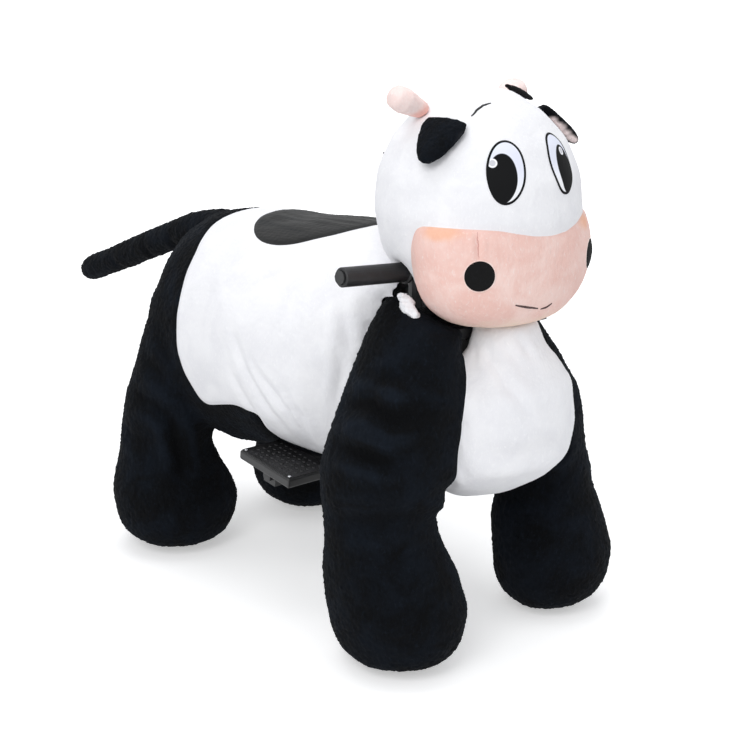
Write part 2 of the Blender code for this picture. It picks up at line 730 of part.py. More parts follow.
def build_steering():
    """The column that turns: crown, blades, steerer, yoke, handlebar, grips and head post."""
    crown = box("fork_crown", (-CROWN_REACH, CROWN_FRONT, CROWN_TOP - CROWN_THICK),
                (CROWN_REACH, CROWN_REAR, CROWN_TOP))
    finish_part(crown, "black_paint", steering)
    for side, sign in SIDES.items():
        leg = blade(f"fork_blade_{side}", "front", sign, CROWN_TOP - CROWN_THICK - CLEAR)
        finish_part(leg, "black_paint", steering)
    steerer = rod("steerer_tube", STEERER_RADIUS, (0, 0, CROWN_TOP + CLEAR),
                  (0, 0, YOKE_BOTTOM - CLEAR))
    finish_part(steerer, "zinc_steel", steering)

    yoke = box("top_yoke", (-YOKE_HALF_WIDTH, CROWN_FRONT, YOKE_BOTTOM),
               (YOKE_HALF_WIDTH, CROWN_REAR, YOKE_TOP))
    join(yoke, box("bar_clamp",
                   (-CLAMP_WIDTH / 2, BAR_Y - CLAMP_RADIUS, YOKE_BOTTOM + YOKE_THICK / 2),
                   (CLAMP_WIDTH / 2, BAR_Y + CLAMP_RADIUS, BAR_Z + CLAMP_RADIUS)))
    cut(yoke, rod("bar_seat", BAR_RADIUS + CLEAR, (-CLAMP_WIDTH, BAR_Y, BAR_Z),
                  (CLAMP_WIDTH, BAR_Y, BAR_Z)))
    finish_part(yoke, "black_paint", steering)

    half = [Vector((0, BAR_Y, BAR_Z))]
    half += arc_points((BAR_RISER_X - BAR_BEND, BAR_Z + BAR_BEND), -90, 0)
    half += arc_points((BAR_RISER_X + BAR_BEND, GRIP_Z - BAR_BEND), 180, 90)
    half.append(BAR_OUTER_END)
    other = [Vector((-point.x, point.y, point.z)) for point in reversed(half[1:])]
    finish_part(tube_along("handlebar", other + half, BAR_RADIUS), "zinc_steel", steering)

    along = (BAR_OUTER_END - BAR_INNER_END).normalized()
    start = BAR_OUTER_END - along * (GRIP_INSET + GRIP_LENGTH)
    bore = BAR_RADIUS + CLEAR
    flange = GRIP_RADIUS + GRIP_FLANGE
    profile = [
        (bore, GRIP_LENGTH), (GRIP_RADIUS - GRIP_EDGE, GRIP_LENGTH),
        (GRIP_RADIUS, GRIP_LENGTH - GRIP_EDGE), (GRIP_RADIUS, GRIP_FLANGE_THICK + GRIP_EDGE),
        (flange, GRIP_FLANGE_THICK), (flange, 0.0), (bore, 0.0)]
    for side, sign in SIDES.items():
        grip = turned(f"grip_{side}", profile, on_side(start, sign), on_side(along, sign))
        finish_part(grip, "rubber", steering)

    post = box("head_post", (-POST_SIZE / 2, POST_Y - POST_SIZE / 2, YOKE_TOP + CLEAR),
               (POST_SIZE / 2, POST_Y + POST_SIZE / 2, POST_TOP))
    arm = ARM_SIZE / 2
    join(post, box("box_arm", (-arm, POST_Y, BOX_MIDDLE - arm),
                   (arm, BOX_FRONT - CLEAR, BOX_MIDDLE + arm)))
    finish_part(post, "black_paint", steering)


def arc_points(centre, start, end, count=4):
    """Points round a bend of the handlebar, in the plane of the bar."""
    made = []
    for i in range(count + 1):
        angle = radians(start + (end - start) * i / count)
        x = centre[0] + BAR_BEND * cos(angle)
        z = centre[1] + BAR_BEND * sin(angle)
        made.append(Vector((x, BAR_Y, z)))
    return made


def hollow_outline(half_width, half_height, wall):
    """A rectangular tube's section: its outline and its hole."""
    made = []
    for inset in (0.0, wall):
        x, y = half_width - inset, half_height - inset
        made.append([(-x, -y), (x, -y), (x, y), (-x, y)])
    return made


def square_tube(name, half_width, half_height, wall, start, end, middle):
    """A hollow rectangular tube along Y from start to end, with its middle at a height."""
    upright = Matrix.Rotation(radians(90), 4, "X")
    section = hollow_outline(half_width, half_height, wall)
    return to_mesh(extrusion(name, section, end - start, Vector((0, (start + end) / 2, middle)), upright))


def build_chassis():
    """The frame that carries the rider: head tube, spine, seat, battery and rear blades."""
    lower = CROWN_TOP + CLEAR + BEARING_FLANGE + CLEAR
    upper = YOKE_BOTTOM - CLEAR - BEARING_FLANGE - CLEAR
    head_tube = turned("head_tube", [
        (HEAD_TUBE_BORE, upper), (HEAD_TUBE_RADIUS, upper), (HEAD_TUBE_RADIUS, lower),
        (HEAD_TUBE_BORE, lower)], (0, 0, 0))
    finish_part(head_tube, "black_paint", ride)
    bore = STEERER_RADIUS + CLEAR
    sleeve = HEAD_TUBE_BORE - CLEAR
    profile = [
        (bore, BEARING_FLANGE), (HEAD_TUBE_RADIUS, BEARING_FLANGE), (HEAD_TUBE_RADIUS, 0.0),
        (sleeve, 0.0), (sleeve, -BEARING_SLEEVE), (bore, -BEARING_SLEEVE)]
    finish_part(turned("upper_bearing", profile, (0, 0, upper + CLEAR)), "chrome", ride)
    finish_part(turned("lower_bearing", profile, (0, 0, lower - CLEAR), (0, 0, -1)), "chrome", ride)

    spine = square_tube("spine_tube", SPINE_WIDTH / 2, SPINE_HEIGHT / 2, SPINE_WALL, 0.0, SPINE_END,
                        SPINE_BOTTOM + SPINE_HEIGHT / 2)
    cut(spine, rod("head_tube_room", HEAD_TUBE_RADIUS + CLEAR, (0, 0, SPINE_BOTTOM - DRILL_PAST),
                   (0, 0, SPINE_TOP + DRILL_PAST), 32))
    finish_part(spine, "black_paint", ride)

    cross_top = SPINE_BOTTOM - CLEAR
    cross_bottom = cross_top - CROSS_SIZE
    cross = box("rear_crossmember", (-CROSS_REACH, WHEELBASE - CROSS_SIZE / 2, cross_bottom),
                (CROSS_REACH, WHEELBASE + CROSS_SIZE / 2, cross_top))
    finish_part(cross, "black_paint", ride)
    for side, sign in SIDES.items():
        strut = blade(f"rear_blade_{side}", "rear", sign, cross_bottom - CLEAR)
        if side == "right":
            x = strut.location.x
            cut(strut, rod("shaft_drill", MOTOR_SHAFT_RADIUS + CLEAR,
                           (x - BLADE_THICK, WHEELBASE, MOTOR_HEIGHT),
                           (x + BLADE_THICK, WHEELBASE, MOTOR_HEIGHT)))
        finish_part(strut, "black_paint", ride)

    face = GEARBOX_FACE
    gearbox = box("gearbox", (face, WHEELBASE - GEARBOX_LENGTH / 2, GEARBOX_BOTTOM),
                  (face + GEARBOX_THICK, WHEELBASE + GEARBOX_LENGTH / 2,
                   GEARBOX_BOTTOM + GEARBOX_HEIGHT))
    soften(gearbox, GEARBOX_EDGE)
    reach = SHAFT_REACH + 2 * CLEAR
    cut(gearbox,
        rod("axle_pocket", AXLE_RADIUS + CLEAR, (face - DRILL_PAST, WHEELBASE, WHEEL_RADIUS),
            (face + reach, WHEELBASE, WHEEL_RADIUS)),
        rod("shaft_pocket", MOTOR_SHAFT_RADIUS + CLEAR, (face - DRILL_PAST, WHEELBASE, MOTOR_HEIGHT),
            (face + reach, WHEELBASE, MOTOR_HEIGHT)))
    finish_part(gearbox, "black_plastic", ride)
    shaft = BLADE_THICK + SHAFT_REACH
    motor_x = GEARBOX_FACE - BLADE_THICK - 2 * CLEAR
    motor = turned("drive_motor", [
        (0.0, MOTOR_LENGTH), (MOTOR_RADIUS - MOTOR_EDGE, MOTOR_LENGTH),
        (MOTOR_RADIUS, MOTOR_LENGTH - MOTOR_EDGE), (MOTOR_RADIUS, 0.0), (MOTOR_SHAFT_RADIUS, 0.0),
        (MOTOR_SHAFT_RADIUS, -shaft), (0.0, -shaft)],
        (motor_x, WHEELBASE, MOTOR_HEIGHT), (-1, 0, 0), closed=False)
    finish_part(motor, "zinc_steel", ride)

    riser = square_tube("seat_riser", RISER_WIDTH / 2, RISER_HEIGHT / 2, SPINE_WALL, RISER_FRONT,
                        RISER_FRONT + RISER_LENGTH, SPINE_TOP + CLEAR + RISER_HEIGHT / 2)
    finish_part(riser, "black_paint", ride)
    board = box("seat_board", (-BOARD_WIDTH / 2, BOARD_FRONT, BOARD_BOTTOM),
                (BOARD_WIDTH / 2, BOARD_FRONT + BOARD_LENGTH, BOARD_TOP))
    finish_part(board, "plywood", ride)

    tray = square_tube("battery_tray", TRAY_HALF_WIDTH, TRAY_HEIGHT / 2, TRAY_WALL, TRAY_FRONT,
                       TRAY_FRONT + TRAY_LENGTH, TRAY_BOTTOM + TRAY_HEIGHT / 2)
    finish_part(tray, "black_paint", ride)
    middle = TRAY_FRONT + TRAY_LENGTH / 2
    floor = TRAY_BOTTOM + TRAY_WALL + CLEAR
    battery = box("battery", (-BATTERY_WIDTH / 2, middle - BATTERY_LENGTH / 2, floor),
                  (BATTERY_WIDTH / 2, middle + BATTERY_LENGTH / 2, floor + BATTERY_HEIGHT))
    finish_part(soften(battery, BATTERY_EDGE, 1), "black_plastic", ride)
    controller = box("drive_controller",
                     (-CONTROLLER_WIDTH / 2, CONTROLLER_FRONT, SPINE_BOTTOM - CLEAR - CONTROLLER_HEIGHT),
                     (CONTROLLER_WIDTH / 2, CONTROLLER_FRONT + CONTROLLER_LENGTH, SPINE_BOTTOM - CLEAR))
    finish_part(controller, "zinc_steel", ride)


def plate_sides(sign):
    return sorted((sign * (PEDAL_OUTER_X - PEDAL_WIDTH), sign * PEDAL_OUTER_X))


def foot_plate(name, sign):
    """A ribbed foot plate on a bearing block that wraps the pedal bar."""
    tilt = Matrix.Rotation(radians(PEDAL_TILT), 4, "X")
    rise = PEDAL_UNDERSIDE
    low_x, high_x = plate_sides(sign)
    front = PEDAL_FRONT - PEDAL_BAR_Y
    plate = box(name, (low_x, front, rise), (high_x, front + PEDAL_LENGTH, rise + PEDAL_THICK))
    soften(plate, PEDAL_EDGE)
    place = Matrix.Translation(PEDAL_PIVOT) @ tilt
    plate.matrix_world = place @ Matrix.Translation(plate.location)
    lug_low, lug_high = sorted((sign * (PEDAL_LUG_X - PEDAL_LUG_WIDTH / 2),
                                sign * (PEDAL_LUG_X + PEDAL_LUG_WIDTH / 2)))
    lug = box(f"{name}_lug", (lug_low, -rise, -rise), (lug_high, rise, rise + PEDAL_THICK / 2))
    lug.matrix_world = place @ Matrix.Translation(lug.location)
    join(plate, lug)
    cut(plate, rod(f"{name}_bore", PEDAL_BAR_RADIUS + CLEAR,
                   PEDAL_PIVOT + Vector((lug_low - DRILL_PAST, 0, 0)),
                   PEDAL_PIVOT + Vector((lug_high + DRILL_PAST, 0, 0))))
    return plate


def plate_room(name, sign, angle):
    """The space in the belly that a foot plate needs at an angle."""
    low_x, high_x = plate_sides(sign)
    front = PEDAL_FRONT - PEDAL_BAR_Y
    rear = front + PEDAL_LENGTH
    room = box(name, (low_x - SWING_GAP, front - SWING_GAP, -PEDAL_UNDERSIDE),
               (high_x + SWING_GAP, rear + SWING_GAP, PEDAL_UNDERSIDE + PEDAL_THICK + SWING_GAP))
    turn = Matrix.Rotation(radians(angle), 4, "X")
    room.matrix_world = Matrix.Translation(PEDAL_PIVOT) @ turn @ Matrix.Translation(room.location)
    return room


def build_foot_plates(pedal_pivot):
    """The cross bar under the belly, the fixed left footrest and the right accelerator pedal."""
    bar = rod("pedal_bar", PEDAL_BAR_RADIUS, PEDAL_PIVOT - Vector((PEDAL_BAR_HALF, 0, 0)),
              PEDAL_PIVOT + Vector((PEDAL_BAR_HALF, 0, 0)))
    half = DROP_POST_SIZE / 2
    join(bar, box("drop_post", (-half, PEDAL_BAR_Y - half, PEDAL_BAR_Z),
                  (half, PEDAL_BAR_Y + half, TRAY_BOTTOM - CLEAR)))
    finish_part(bar, "black_paint", ride)
    finish_part(foot_plate("footrest_left", 1), "black_plastic", ride)
    finish_part(foot_plate("accelerator_pedal", -1), "black_plastic", pedal_pivot)


def button(name, radius, x, z, pivot, face, reach, finish):
    """A push button through a panel, with a rim behind it that keeps it in."""
    profile = [
        (0.0, BUTTON_PROUD), (radius - BUTTON_EDGE, BUTTON_PROUD), (radius, BUTTON_PROUD - BUTTON_EDGE),
        (radius, -reach), (radius + BUTTON_RIM, -reach), (radius + BUTTON_RIM, -reach - BUTTON_RIM_THICK),
        (0.0, -reach - BUTTON_RIM_THICK)]
    made = turned(name, profile, (x, face, z), (0, 1, 0), closed=False, steps=20)
    return finish_part(made, finish, pivot)


def build_control_box(door_pivot, button_pivots, flap_pivot, lock_pivot):
    """The coin and control box in the back of the head, behind a hinged, lockable door."""
    low = Vector((-BOX_HALF_WIDTH, BOX_FRONT, BOX_BOTTOM))
    high = Vector((BOX_HALF_WIDTH, BOX_REAR, BOX_BOTTOM + BOX_HEIGHT))
    wall = Vector((BOX_WALL, BOX_WALL, BOX_WALL))
    case = box("control_box", low, high)
    cut(case, box("box_room", low + wall, high - wall + Vector((0, BOX_WALL + DRILL_PAST, 0))))
    ear_front = BOX_REAR - BOX_WALL
    ear_rear = HINGE_Y + HINGE_RADIUS
    top = BOX_BOTTOM + BOX_HEIGHT
    for tag, ear_low in (("lower", BOX_BOTTOM), ("upper", top - HINGE_EAR_THICK)):
        join(case, box(f"{tag}_ear", (HINGE_X - HINGE_RADIUS - HINGE_EAR_WEB, ear_front, ear_low),
                       (BOX_HALF_WIDTH, ear_rear, ear_low + HINGE_EAR_THICK)))
    lock_z = BOX_MIDDLE + LOCK_RISE
    catch_rear = BOX_REAR - CATCH_INSET
    join(case, box("lock_catch", (-BOX_HALF_WIDTH + BOX_WALL / 2, catch_rear - CATCH_THICK,
                                  lock_z - CATCH_HEIGHT / 2),
                   (-BOX_HALF_WIDTH + BOX_WALL + CATCH_REACH, catch_rear, lock_z + CATCH_HEIGHT / 2)))
    cut(case, rod("hinge_bore", HINGE_PIN_RADIUS + CLEAR, (HINGE_X, HINGE_Y, BOX_BOTTOM - DRILL_PAST),
                  (HINGE_X, HINGE_Y, top + DRILL_PAST), 16))
    finish_part(case, "black_plastic", steering)

    door_low = BOX_BOTTOM + DOOR_INSET
    door_high = top - DOOR_INSET
    door = box("control_door", (-BOX_HALF_WIDTH, DOOR_REAR, door_low), (HINGE_X, DOOR_FACE, door_high))
    join(door, rod("hinge_knuckle", HINGE_RADIUS, (HINGE_X, HINGE_Y, door_low),
                   (HINGE_X, HINGE_Y, door_high), 16))
    join(door, rod("hinge_pins", HINGE_PIN_RADIUS, (HINGE_X, HINGE_Y, BOX_BOTTOM + HINGE_PIN_INSET),
                   (HINGE_X, HINGE_Y, top - HINGE_PIN_INSET), 16))
    body_low = Vector((SLOT_FACE_X - SLOT_BODY_WIDTH / 2, DOOR_FACE - SLOT_BODY_DEPTH,
                       BOX_MIDDLE - SLOT_BODY_HEIGHT / 2))
    body_high = Vector((SLOT_FACE_X + SLOT_BODY_WIDTH / 2, DOOR_FACE + CLEAR + SLOT_FACE_THICK / 2,
                        BOX_MIDDLE + SLOT_BODY_HEIGHT / 2))
    gap = Vector((CLEAR, CLEAR, CLEAR))
    cut(door, box("slot_window", body_low - gap, body_high + gap))
    holes = (("start", START_BUTTON_RADIUS, START_BUTTON_X, START_BUTTON_RISE),
             ("music", MUSIC_BUTTON_RADIUS, START_BUTTON_X, MUSIC_BUTTON_RISE),
             ("lock", LOCK_RADIUS, LOCK_X, LOCK_RISE))
    for tag, radius, x, rise in holes:
        cut(door, rod(f"{tag}_hole", radius + CLEAR, (x, DOOR_REAR - DRILL_PAST, BOX_MIDDLE + rise),
                      (x, DOOR_FACE + DRILL_PAST, BOX_MIDDLE + rise)))
    finish_part(door, "zinc_steel", door_pivot)

    face_front = DOOR_FACE + CLEAR
    face_rear = SLOT_FACE_REAR
    slot_face = box("coin_acceptor",
                    (SLOT_FACE_X - SLOT_FACE_WIDTH / 2, face_front, BOX_MIDDLE - SLOT_FACE_HEIGHT / 2),
                    (SLOT_FACE_X + SLOT_FACE_WIDTH / 2, face_rear, BOX_MIDDLE + SLOT_FACE_HEIGHT / 2))
    join(slot_face, box("slot_body", body_low, body_high))
    slot_z = BOX_MIDDLE + COIN_SLOT_RISE
    cut(slot_face, box("coin_slot", (COIN_SLOT_X - COIN_SLOT_WIDTH / 2, face_rear - COIN_SLOT_DEPTH,
                                     slot_z - COIN_SLOT_HEIGHT / 2),
                       (COIN_SLOT_X + COIN_SLOT_WIDTH / 2, face_rear + DRILL_PAST,
                        slot_z + COIN_SLOT_HEIGHT / 2)))
    cup_z = BOX_MIDDLE - CUP_DROP
    cut(slot_face, box("return_cup", (SLOT_FACE_X - CUP_WIDTH / 2, face_rear - CUP_DEPTH,
                                      cup_z - CUP_HEIGHT / 2),
                       (SLOT_FACE_X + CUP_WIDTH / 2, face_rear + DRILL_PAST, cup_z + CUP_HEIGHT / 2)))
    pocket_end = face_rear - SLOT_FACE_THICK - BUTTON_TRAVEL - BUTTON_SPARE
    cut(slot_face, rod("return_pocket", RETURN_BUTTON_RADIUS + CLEAR, (RETURN_BUTTON_X, pocket_end, slot_z),
                       (RETURN_BUTTON_X, face_rear + DRILL_PAST, slot_z)))
    finish_part(slot_face, "black_plastic", door_pivot)
    plunger = turned("coin_return_button", [
        (0.0, RETURN_BUTTON_PROUD), (RETURN_BUTTON_RADIUS - BUTTON_EDGE, RETURN_BUTTON_PROUD),
        (RETURN_BUTTON_RADIUS, RETURN_BUTTON_PROUD - BUTTON_EDGE),
        (RETURN_BUTTON_RADIUS, -SLOT_FACE_THICK), (0.0, -SLOT_FACE_THICK)],
        (RETURN_BUTTON_X, face_rear, slot_z), (0, 1, 0), closed=False, steps=20)
    finish_part(plunger, "red_plastic", button_pivots["coin_return_button"])

    flap_axis = reference[flap_pivot.name]
    flap_half = CUP_WIDTH / 2 - CLEAR
    flap = rod("coin_return_flap", FLAP_ROD_RADIUS, flap_axis - Vector((flap_half, 0, 0)),
               flap_axis + Vector((flap_half, 0, 0)), 12)
    join(flap, box("flap_leaf", (SLOT_FACE_X - flap_half, flap_axis.y - FLAP_THICK / 2,
                                 cup_z - CUP_HEIGHT / 2 + FLAP_END_GAP),
                   (SLOT_FACE_X + flap_half, flap_axis.y + FLAP_THICK / 2, flap_axis.z)))
    finish_part(flap, "chrome", flap_pivot)

    panel = DOOR_THICK + CLEAR
    button("start_button", START_BUTTON_RADIUS, START_BUTTON_X, BOX_MIDDLE + START_BUTTON_RISE,
           button_pivots["start_button"], DOOR_FACE, panel, "red_plastic")
    button("music_button", MUSIC_BUTTON_RADIUS, START_BUTTON_X, BOX_MIDDLE + MUSIC_BUTTON_RISE,
           button_pivots["music_button"], DOOR_FACE, panel, "yellow_plastic")

    flange = LOCK_RADIUS + LOCK_FLANGE
    barrel = turned("door_lock", [
        (0.0, LOCK_FLANGE_THICK), (flange, LOCK_FLANGE_THICK), (flange, CLEAR), (LOCK_RADIUS, CLEAR),
        (LOCK_RADIUS, -LOCK_DEPTH), (0.0, -LOCK_DEPTH)], (LOCK_X, DOOR_FACE, lock_z), (0, 1, 0),
        closed=False, steps=20)
    cam_rear = catch_rear - CATCH_THICK - LOCK_CAM_GAP
    half_cam = LOCK_CAM_WIDTH / 2
    join(barrel, box("lock_cam", (LOCK_X - half_cam, cam_rear - LOCK_CAM_THICK, lock_z - half_cam),
                     (LOCK_X + half_cam, cam_rear, lock_z + LOCK_CAM_LENGTH)))
    finish_part(barrel, "chrome", lock_pivot)


def panel_cutter(name, inset):
    """The block that holds the white body panel; inset draws its seam in."""
    outline = [(y - inset, z + inset) if y > 0 else (-PAST_BODY, z) for y, z in PANEL_SEAM]
    turn = Matrix(((0, 0, 1, 0), (1, 0, 0, 0), (0, 1, 0, 0), (0, 0, 0, 1)))
    return to_mesh(extrusion(name, [outline], 2 * PAST_BODY, Vector((0, 0, 0)), turn))


def slab(name, front, rear):
    """A block wider and taller than the body, between two places along Y."""
    return box(name, (-PAST_BODY, front, -PAST_BODY), (PAST_BODY, rear, 2 * PAST_BODY))


def bay_cutters(name):
    """Rooms inside the stuffing: for the seat board and battery, the controller and the spine."""
    bays = (
        ("seat", BOARD_WIDTH / 2, BOARD_FRONT + BOARD_LENGTH, TRAY_BOTTOM, BOARD_TOP),
        ("controller", CONTROLLER_WIDTH / 2, CONTROLLER_FRONT + CONTROLLER_LENGTH,
         SPINE_BOTTOM - CLEAR - CONTROLLER_HEIGHT, SPINE_TOP),
        ("spine", SPINE_WIDTH / 2, SPINE_END, SPINE_BOTTOM, SPINE_TOP))
    return [box(f"{name}_{tag}_bay", (-half - CLEAR, -PAST_BODY, low - CLEAR),
                (half + CLEAR, rear + CLEAR, high + CLEAR))
            for tag, half, rear, low, high in bays]


def cross_cutter(name):
    """Room for the rear crossmember and, below it, the two rear blades."""
    reach = CROSS_REACH + CLEAR
    half = CROSS_SIZE / 2 + CLEAR
    return box(name, (-reach, WHEELBASE - half, 0.0), (reach, WHEELBASE + half, SPINE_BOTTOM))


def drop_post_room(name):
    """Room for the post that the pedal bar hangs from."""
    half = DROP_POST_SIZE / 2 + CLEAR
    return box(name, (-half, PEDAL_BAR_Y - half, 0.0),
               (half, PEDAL_BAR_Y + half, TRAY_BOTTOM + DRILL_PAST))


def seat_cutter(name, grow):
    """An upright oval prism that outlines the seat patch."""
    middle = (SEAT_FRONT + SEAT_REAR) / 2
    half_length = (SEAT_REAR - SEAT_FRONT) / 2 + grow
    bm = bmesh.new()
    bmesh.ops.create_cone(bm, cap_ends=True, segments=36, radius1=1.0, radius2=1.0, depth=1.0)
    bmesh.ops.scale(bm, vec=(SEAT_HALF_WIDTH + grow, half_length, PAST_BODY), verts=bm.verts)
    bottom = BOARD_TOP + CLEAR - grow
    bmesh.ops.translate(bm, vec=(0, middle, bottom + PAST_BODY / 2), verts=bm.verts)
    return mesh_object(name, bm)


def build_body():
    """The stuffed body: white panel, black rump and belly, seat patch, gusset and tail."""
    form = swell("torso_form", TORSO, along="Y", segments=28)
    as_cutter(form)

    def body_piece(name):
        piece = swell(name, TORSO, along="Y", segments=28)
        cut(piece, *bay_cutters(name))
        cut(piece, drop_post_room(f"{name}_drop_post"))
        return piece

    torso = body_piece("torso_plush")
    keep_inside(torso, panel_cutter("white_panel", SEAM / 2))
    cut(torso, slab("torso_front_trim", -PAST_BODY, TORSO_FRONT))
    cut(torso, seat_cutter("seat_hole", SEAM))
    finish_part(torso, "white_plush", ride)

    rump = body_piece("rump_plush")
    cut(rump, panel_cutter("white_panel_room", -SEAM / 2))
    cut(rump, slab("rump_front_trim", -PAST_BODY, TORSO_FRONT))
    cut(rump, cross_cutter("rump_cross_room"))
    cut(rump, rod("pedal_bar_room", PEDAL_BAR_RADIUS + CLEAR, PEDAL_PIVOT - Vector((PAST_BODY, 0, 0)),
                  PEDAL_PIVOT + Vector((PAST_BODY, 0, 0))))
    for side, sign in SIDES.items():
        cut(rump, plate_room(f"plate_room_{side}", sign, PEDAL_TILT))
        cut(rump, plate_room(f"pressed_room_{side}", sign, PEDAL_TILT + PEDAL_TRAVEL))
    finish_part(rump, "black_plush", ride)

    seat = swell("seat_pad", TORSO, along="Y", segments=28, steps=2)
    keep_inside(seat, seat_cutter("seat_outline", 0.0))
    finish_part(seat, "seat_fabric", ride)

    tail = swell("tail_plush", TAIL, along="Y", segments=14)
    cut(tail, grown_copy(form, SEAM, "tail_root"))
    finish_part(tail, "black_plush", ride)
    return form


def leg_room(name, leg, end, sign):
    """Hollows a plush leg for its wheel, axle bolt and steel blade."""
    x = sign * WHEEL_X[end]
    y = WHEELBASE if end == "rear" else 0.0
    blade_x = sign * (WHEEL_X[end] - BLADE_TO_WHEEL)
    half = BLADE_THICK / 2 + CLEAR
    outer = x + sign * (WHEEL_WIDTH / 2 + WHEEL_SIDE_GAP * 2 + AXLE_HEAD + SWING_GAP)
    cut(leg, rod(f"{name}_wheel_well", WHEEL_RADIUS + WHEEL_WELL_GAP, (blade_x, y, WHEEL_RADIUS),
                 (outer, y, WHEEL_RADIUS), 28))
    cut(leg, box(f"{name}_blade_room", (blade_x - half, y - BLADE_WIDTH / 2 - CLEAR, -DRILL_PAST),
                 (blade_x + half, y + BLADE_WIDTH / 2 + CLEAR, SPINE_BOTTOM)))


def build_legs(form, chest, muzzle):
    """Four stuffed legs round the blades, each cut by the larger form that it is sewn to."""
    for side, sign in SIDES.items():
        leg = swell(f"rear_leg_plush_{side}", REAR_LEG, side=sign)
        cut(leg, grown_copy(form, SEAM, f"rear_{side}_joint"))
        leg_room(f"rear_{side}", leg, "rear", sign)
        if side == "right":
            half = GEARBOX_LENGTH / 2 + CLEAR
            cut(leg, box("gearbox_room", (GEARBOX_FACE - 2 * CLEAR, WHEELBASE - half, -DRILL_PAST),
                         (GEARBOX_FACE + GEARBOX_THICK + CLEAR, WHEELBASE + half,
                          GEARBOX_BOTTOM + GEARBOX_HEIGHT + CLEAR)))
            motor_end = GEARBOX_FACE - BLADE_THICK - MOTOR_LENGTH - 3 * CLEAR
            cut(leg, rod("motor_room", MOTOR_RADIUS + CLEAR, (GEARBOX_FACE, WHEELBASE, MOTOR_HEIGHT),
                         (motor_end, WHEELBASE, MOTOR_HEIGHT)))
        finish_part(leg, "black_plush", ride)

        leg = swell(f"front_leg_plush_{side}", FRONT_LEGS[side], side=sign)
        cut(leg, grown_copy(chest, SEAM, f"front_{side}_joint"))
        cut(leg, grown_copy(muzzle, SEAM, f"front_{side}_chin"))
        leg_room(f"front_{side}", leg, "front", sign)
        cut(leg, column_room(f"front_{side}_column"))
        cut(leg, crown_room(f"front_{side}_crown"))
        cut(leg, yoke_room(f"front_{side}_yoke"))
        cut(leg, rod(f"front_{side}_bar_room", BAR_RADIUS + SWING_GAP,
                     on_side((BAR_RISER_X, BAR_Y, BAR_Z), sign),
                     on_side((BAR_RISER_X, BAR_Y, GRIP_Z), sign)))
        finish_part(leg, "black_plush", steering)


def column_room(name):
    """The space that the spine sweeps as the column turns."""
    limit = radians(STEER_LIMIT)
    half = SPINE_WIDTH / 2 / cos(limit) + SHOULDER_REAR * tan(limit) + SWING_GAP
    return box(name, (-half, CROWN_FRONT - CLEAR, CROWN_TOP - CROWN_THICK), (half, PAST_BODY, YOKE_TOP))


def crown_room(name):
    reach = CROWN_REACH + CLEAR
    return box(name, (-reach, CROWN_FRONT - CLEAR, CROWN_TOP - CROWN_THICK - CLEAR),
               (reach, CROWN_REAR + CLEAR, CROWN_TOP + CLEAR))


def yoke_room(name):
    reach = YOKE_HALF_WIDTH + CLEAR
    return box(name, (-reach, CROWN_FRONT - CLEAR, YOKE_BOTTOM - CLEAR),
               (reach, CROWN_REAR + CLEAR, BAR_Z + CLAMP_RADIUS + SWING_GAP))


def build_head():
    """The chest, the pink muzzle and the white head, with their eyes, ears and horns."""
    muzzle = swell("muzzle_plush", MUZZLE, segments=28, steps=2)
    muzzle_room = grown_copy(muzzle, SEAM, "muzzle_room")
    chest_room = grown_copy(muzzle, SEAM, "chin_room")
    cut(muzzle, yoke_room("muzzle_yoke_room"))
    cut(muzzle, post_room("muzzle_post_room"))
    finish_part(muzzle, "pink_plush", steering)

    chest = swell("chest_plush", CHEST, segments=24, steps=1)
    cut(chest, box("chest_back", (-PAST_BODY, CROWN_FRONT - CLEAR, CROWN_TOP - CROWN_THICK - CLEAR),
                   (PAST_BODY, PAST_BODY, 2 * PAST_BODY)))
    cut(chest, chest_room)
    finish_part(chest, "white_plush", steering)

    head = swell("head_plush", HEAD, segments=28, steps=1)
    head_form = grown_copy(head, 0.0, "head_form")
    as_cutter(head_form)
    cut(head, muzzle_room)
    cut(head, yoke_room("head_yoke_room"))
    cut(head, post_room("head_post_room"))
    cut(head, box("control_box_room", (-BOX_HALF_WIDTH - CLEAR, BOX_FRONT - CLEAR, BOX_BOTTOM - CLEAR),
                  (BOX_HALF_WIDTH + CLEAR, PAST_BODY, BOX_BOTTOM + BOX_HEIGHT + CLEAR)))
    arm = ARM_SIZE / 2 + CLEAR
    cut(head, box("box_arm_room", (-arm, POST_Y, BOX_MIDDLE - arm),
                  (arm, BOX_FRONT + DRILL_PAST, BOX_MIDDLE + arm)))
    slot = BAR_RADIUS + SWING_GAP
    cut(head, box("bar_room", (-BAR_END_X, BAR_Y - slot, YOKE_TOP),
                  (BAR_END_X, BAR_Y + slot, GRIP_Z + slot)))
    for side, sign in SIDES.items():
        cut(head, rod(f"grip_room_{side}", GRIP_RADIUS + GRIP_FLANGE + CLEAR,
                      on_side(BAR_INNER_END, sign), on_side(BAR_OUTER_END, sign)))
    finish_part(head, "white_plush", steering)
    build_face(head_form)
    return chest, muzzle


def post_room(name):
    half = POST_SIZE / 2 + CLEAR
    return box(name, (-half, POST_Y - half, YOKE_BOTTOM), (half, POST_Y + half, POST_TOP + CLEAR))


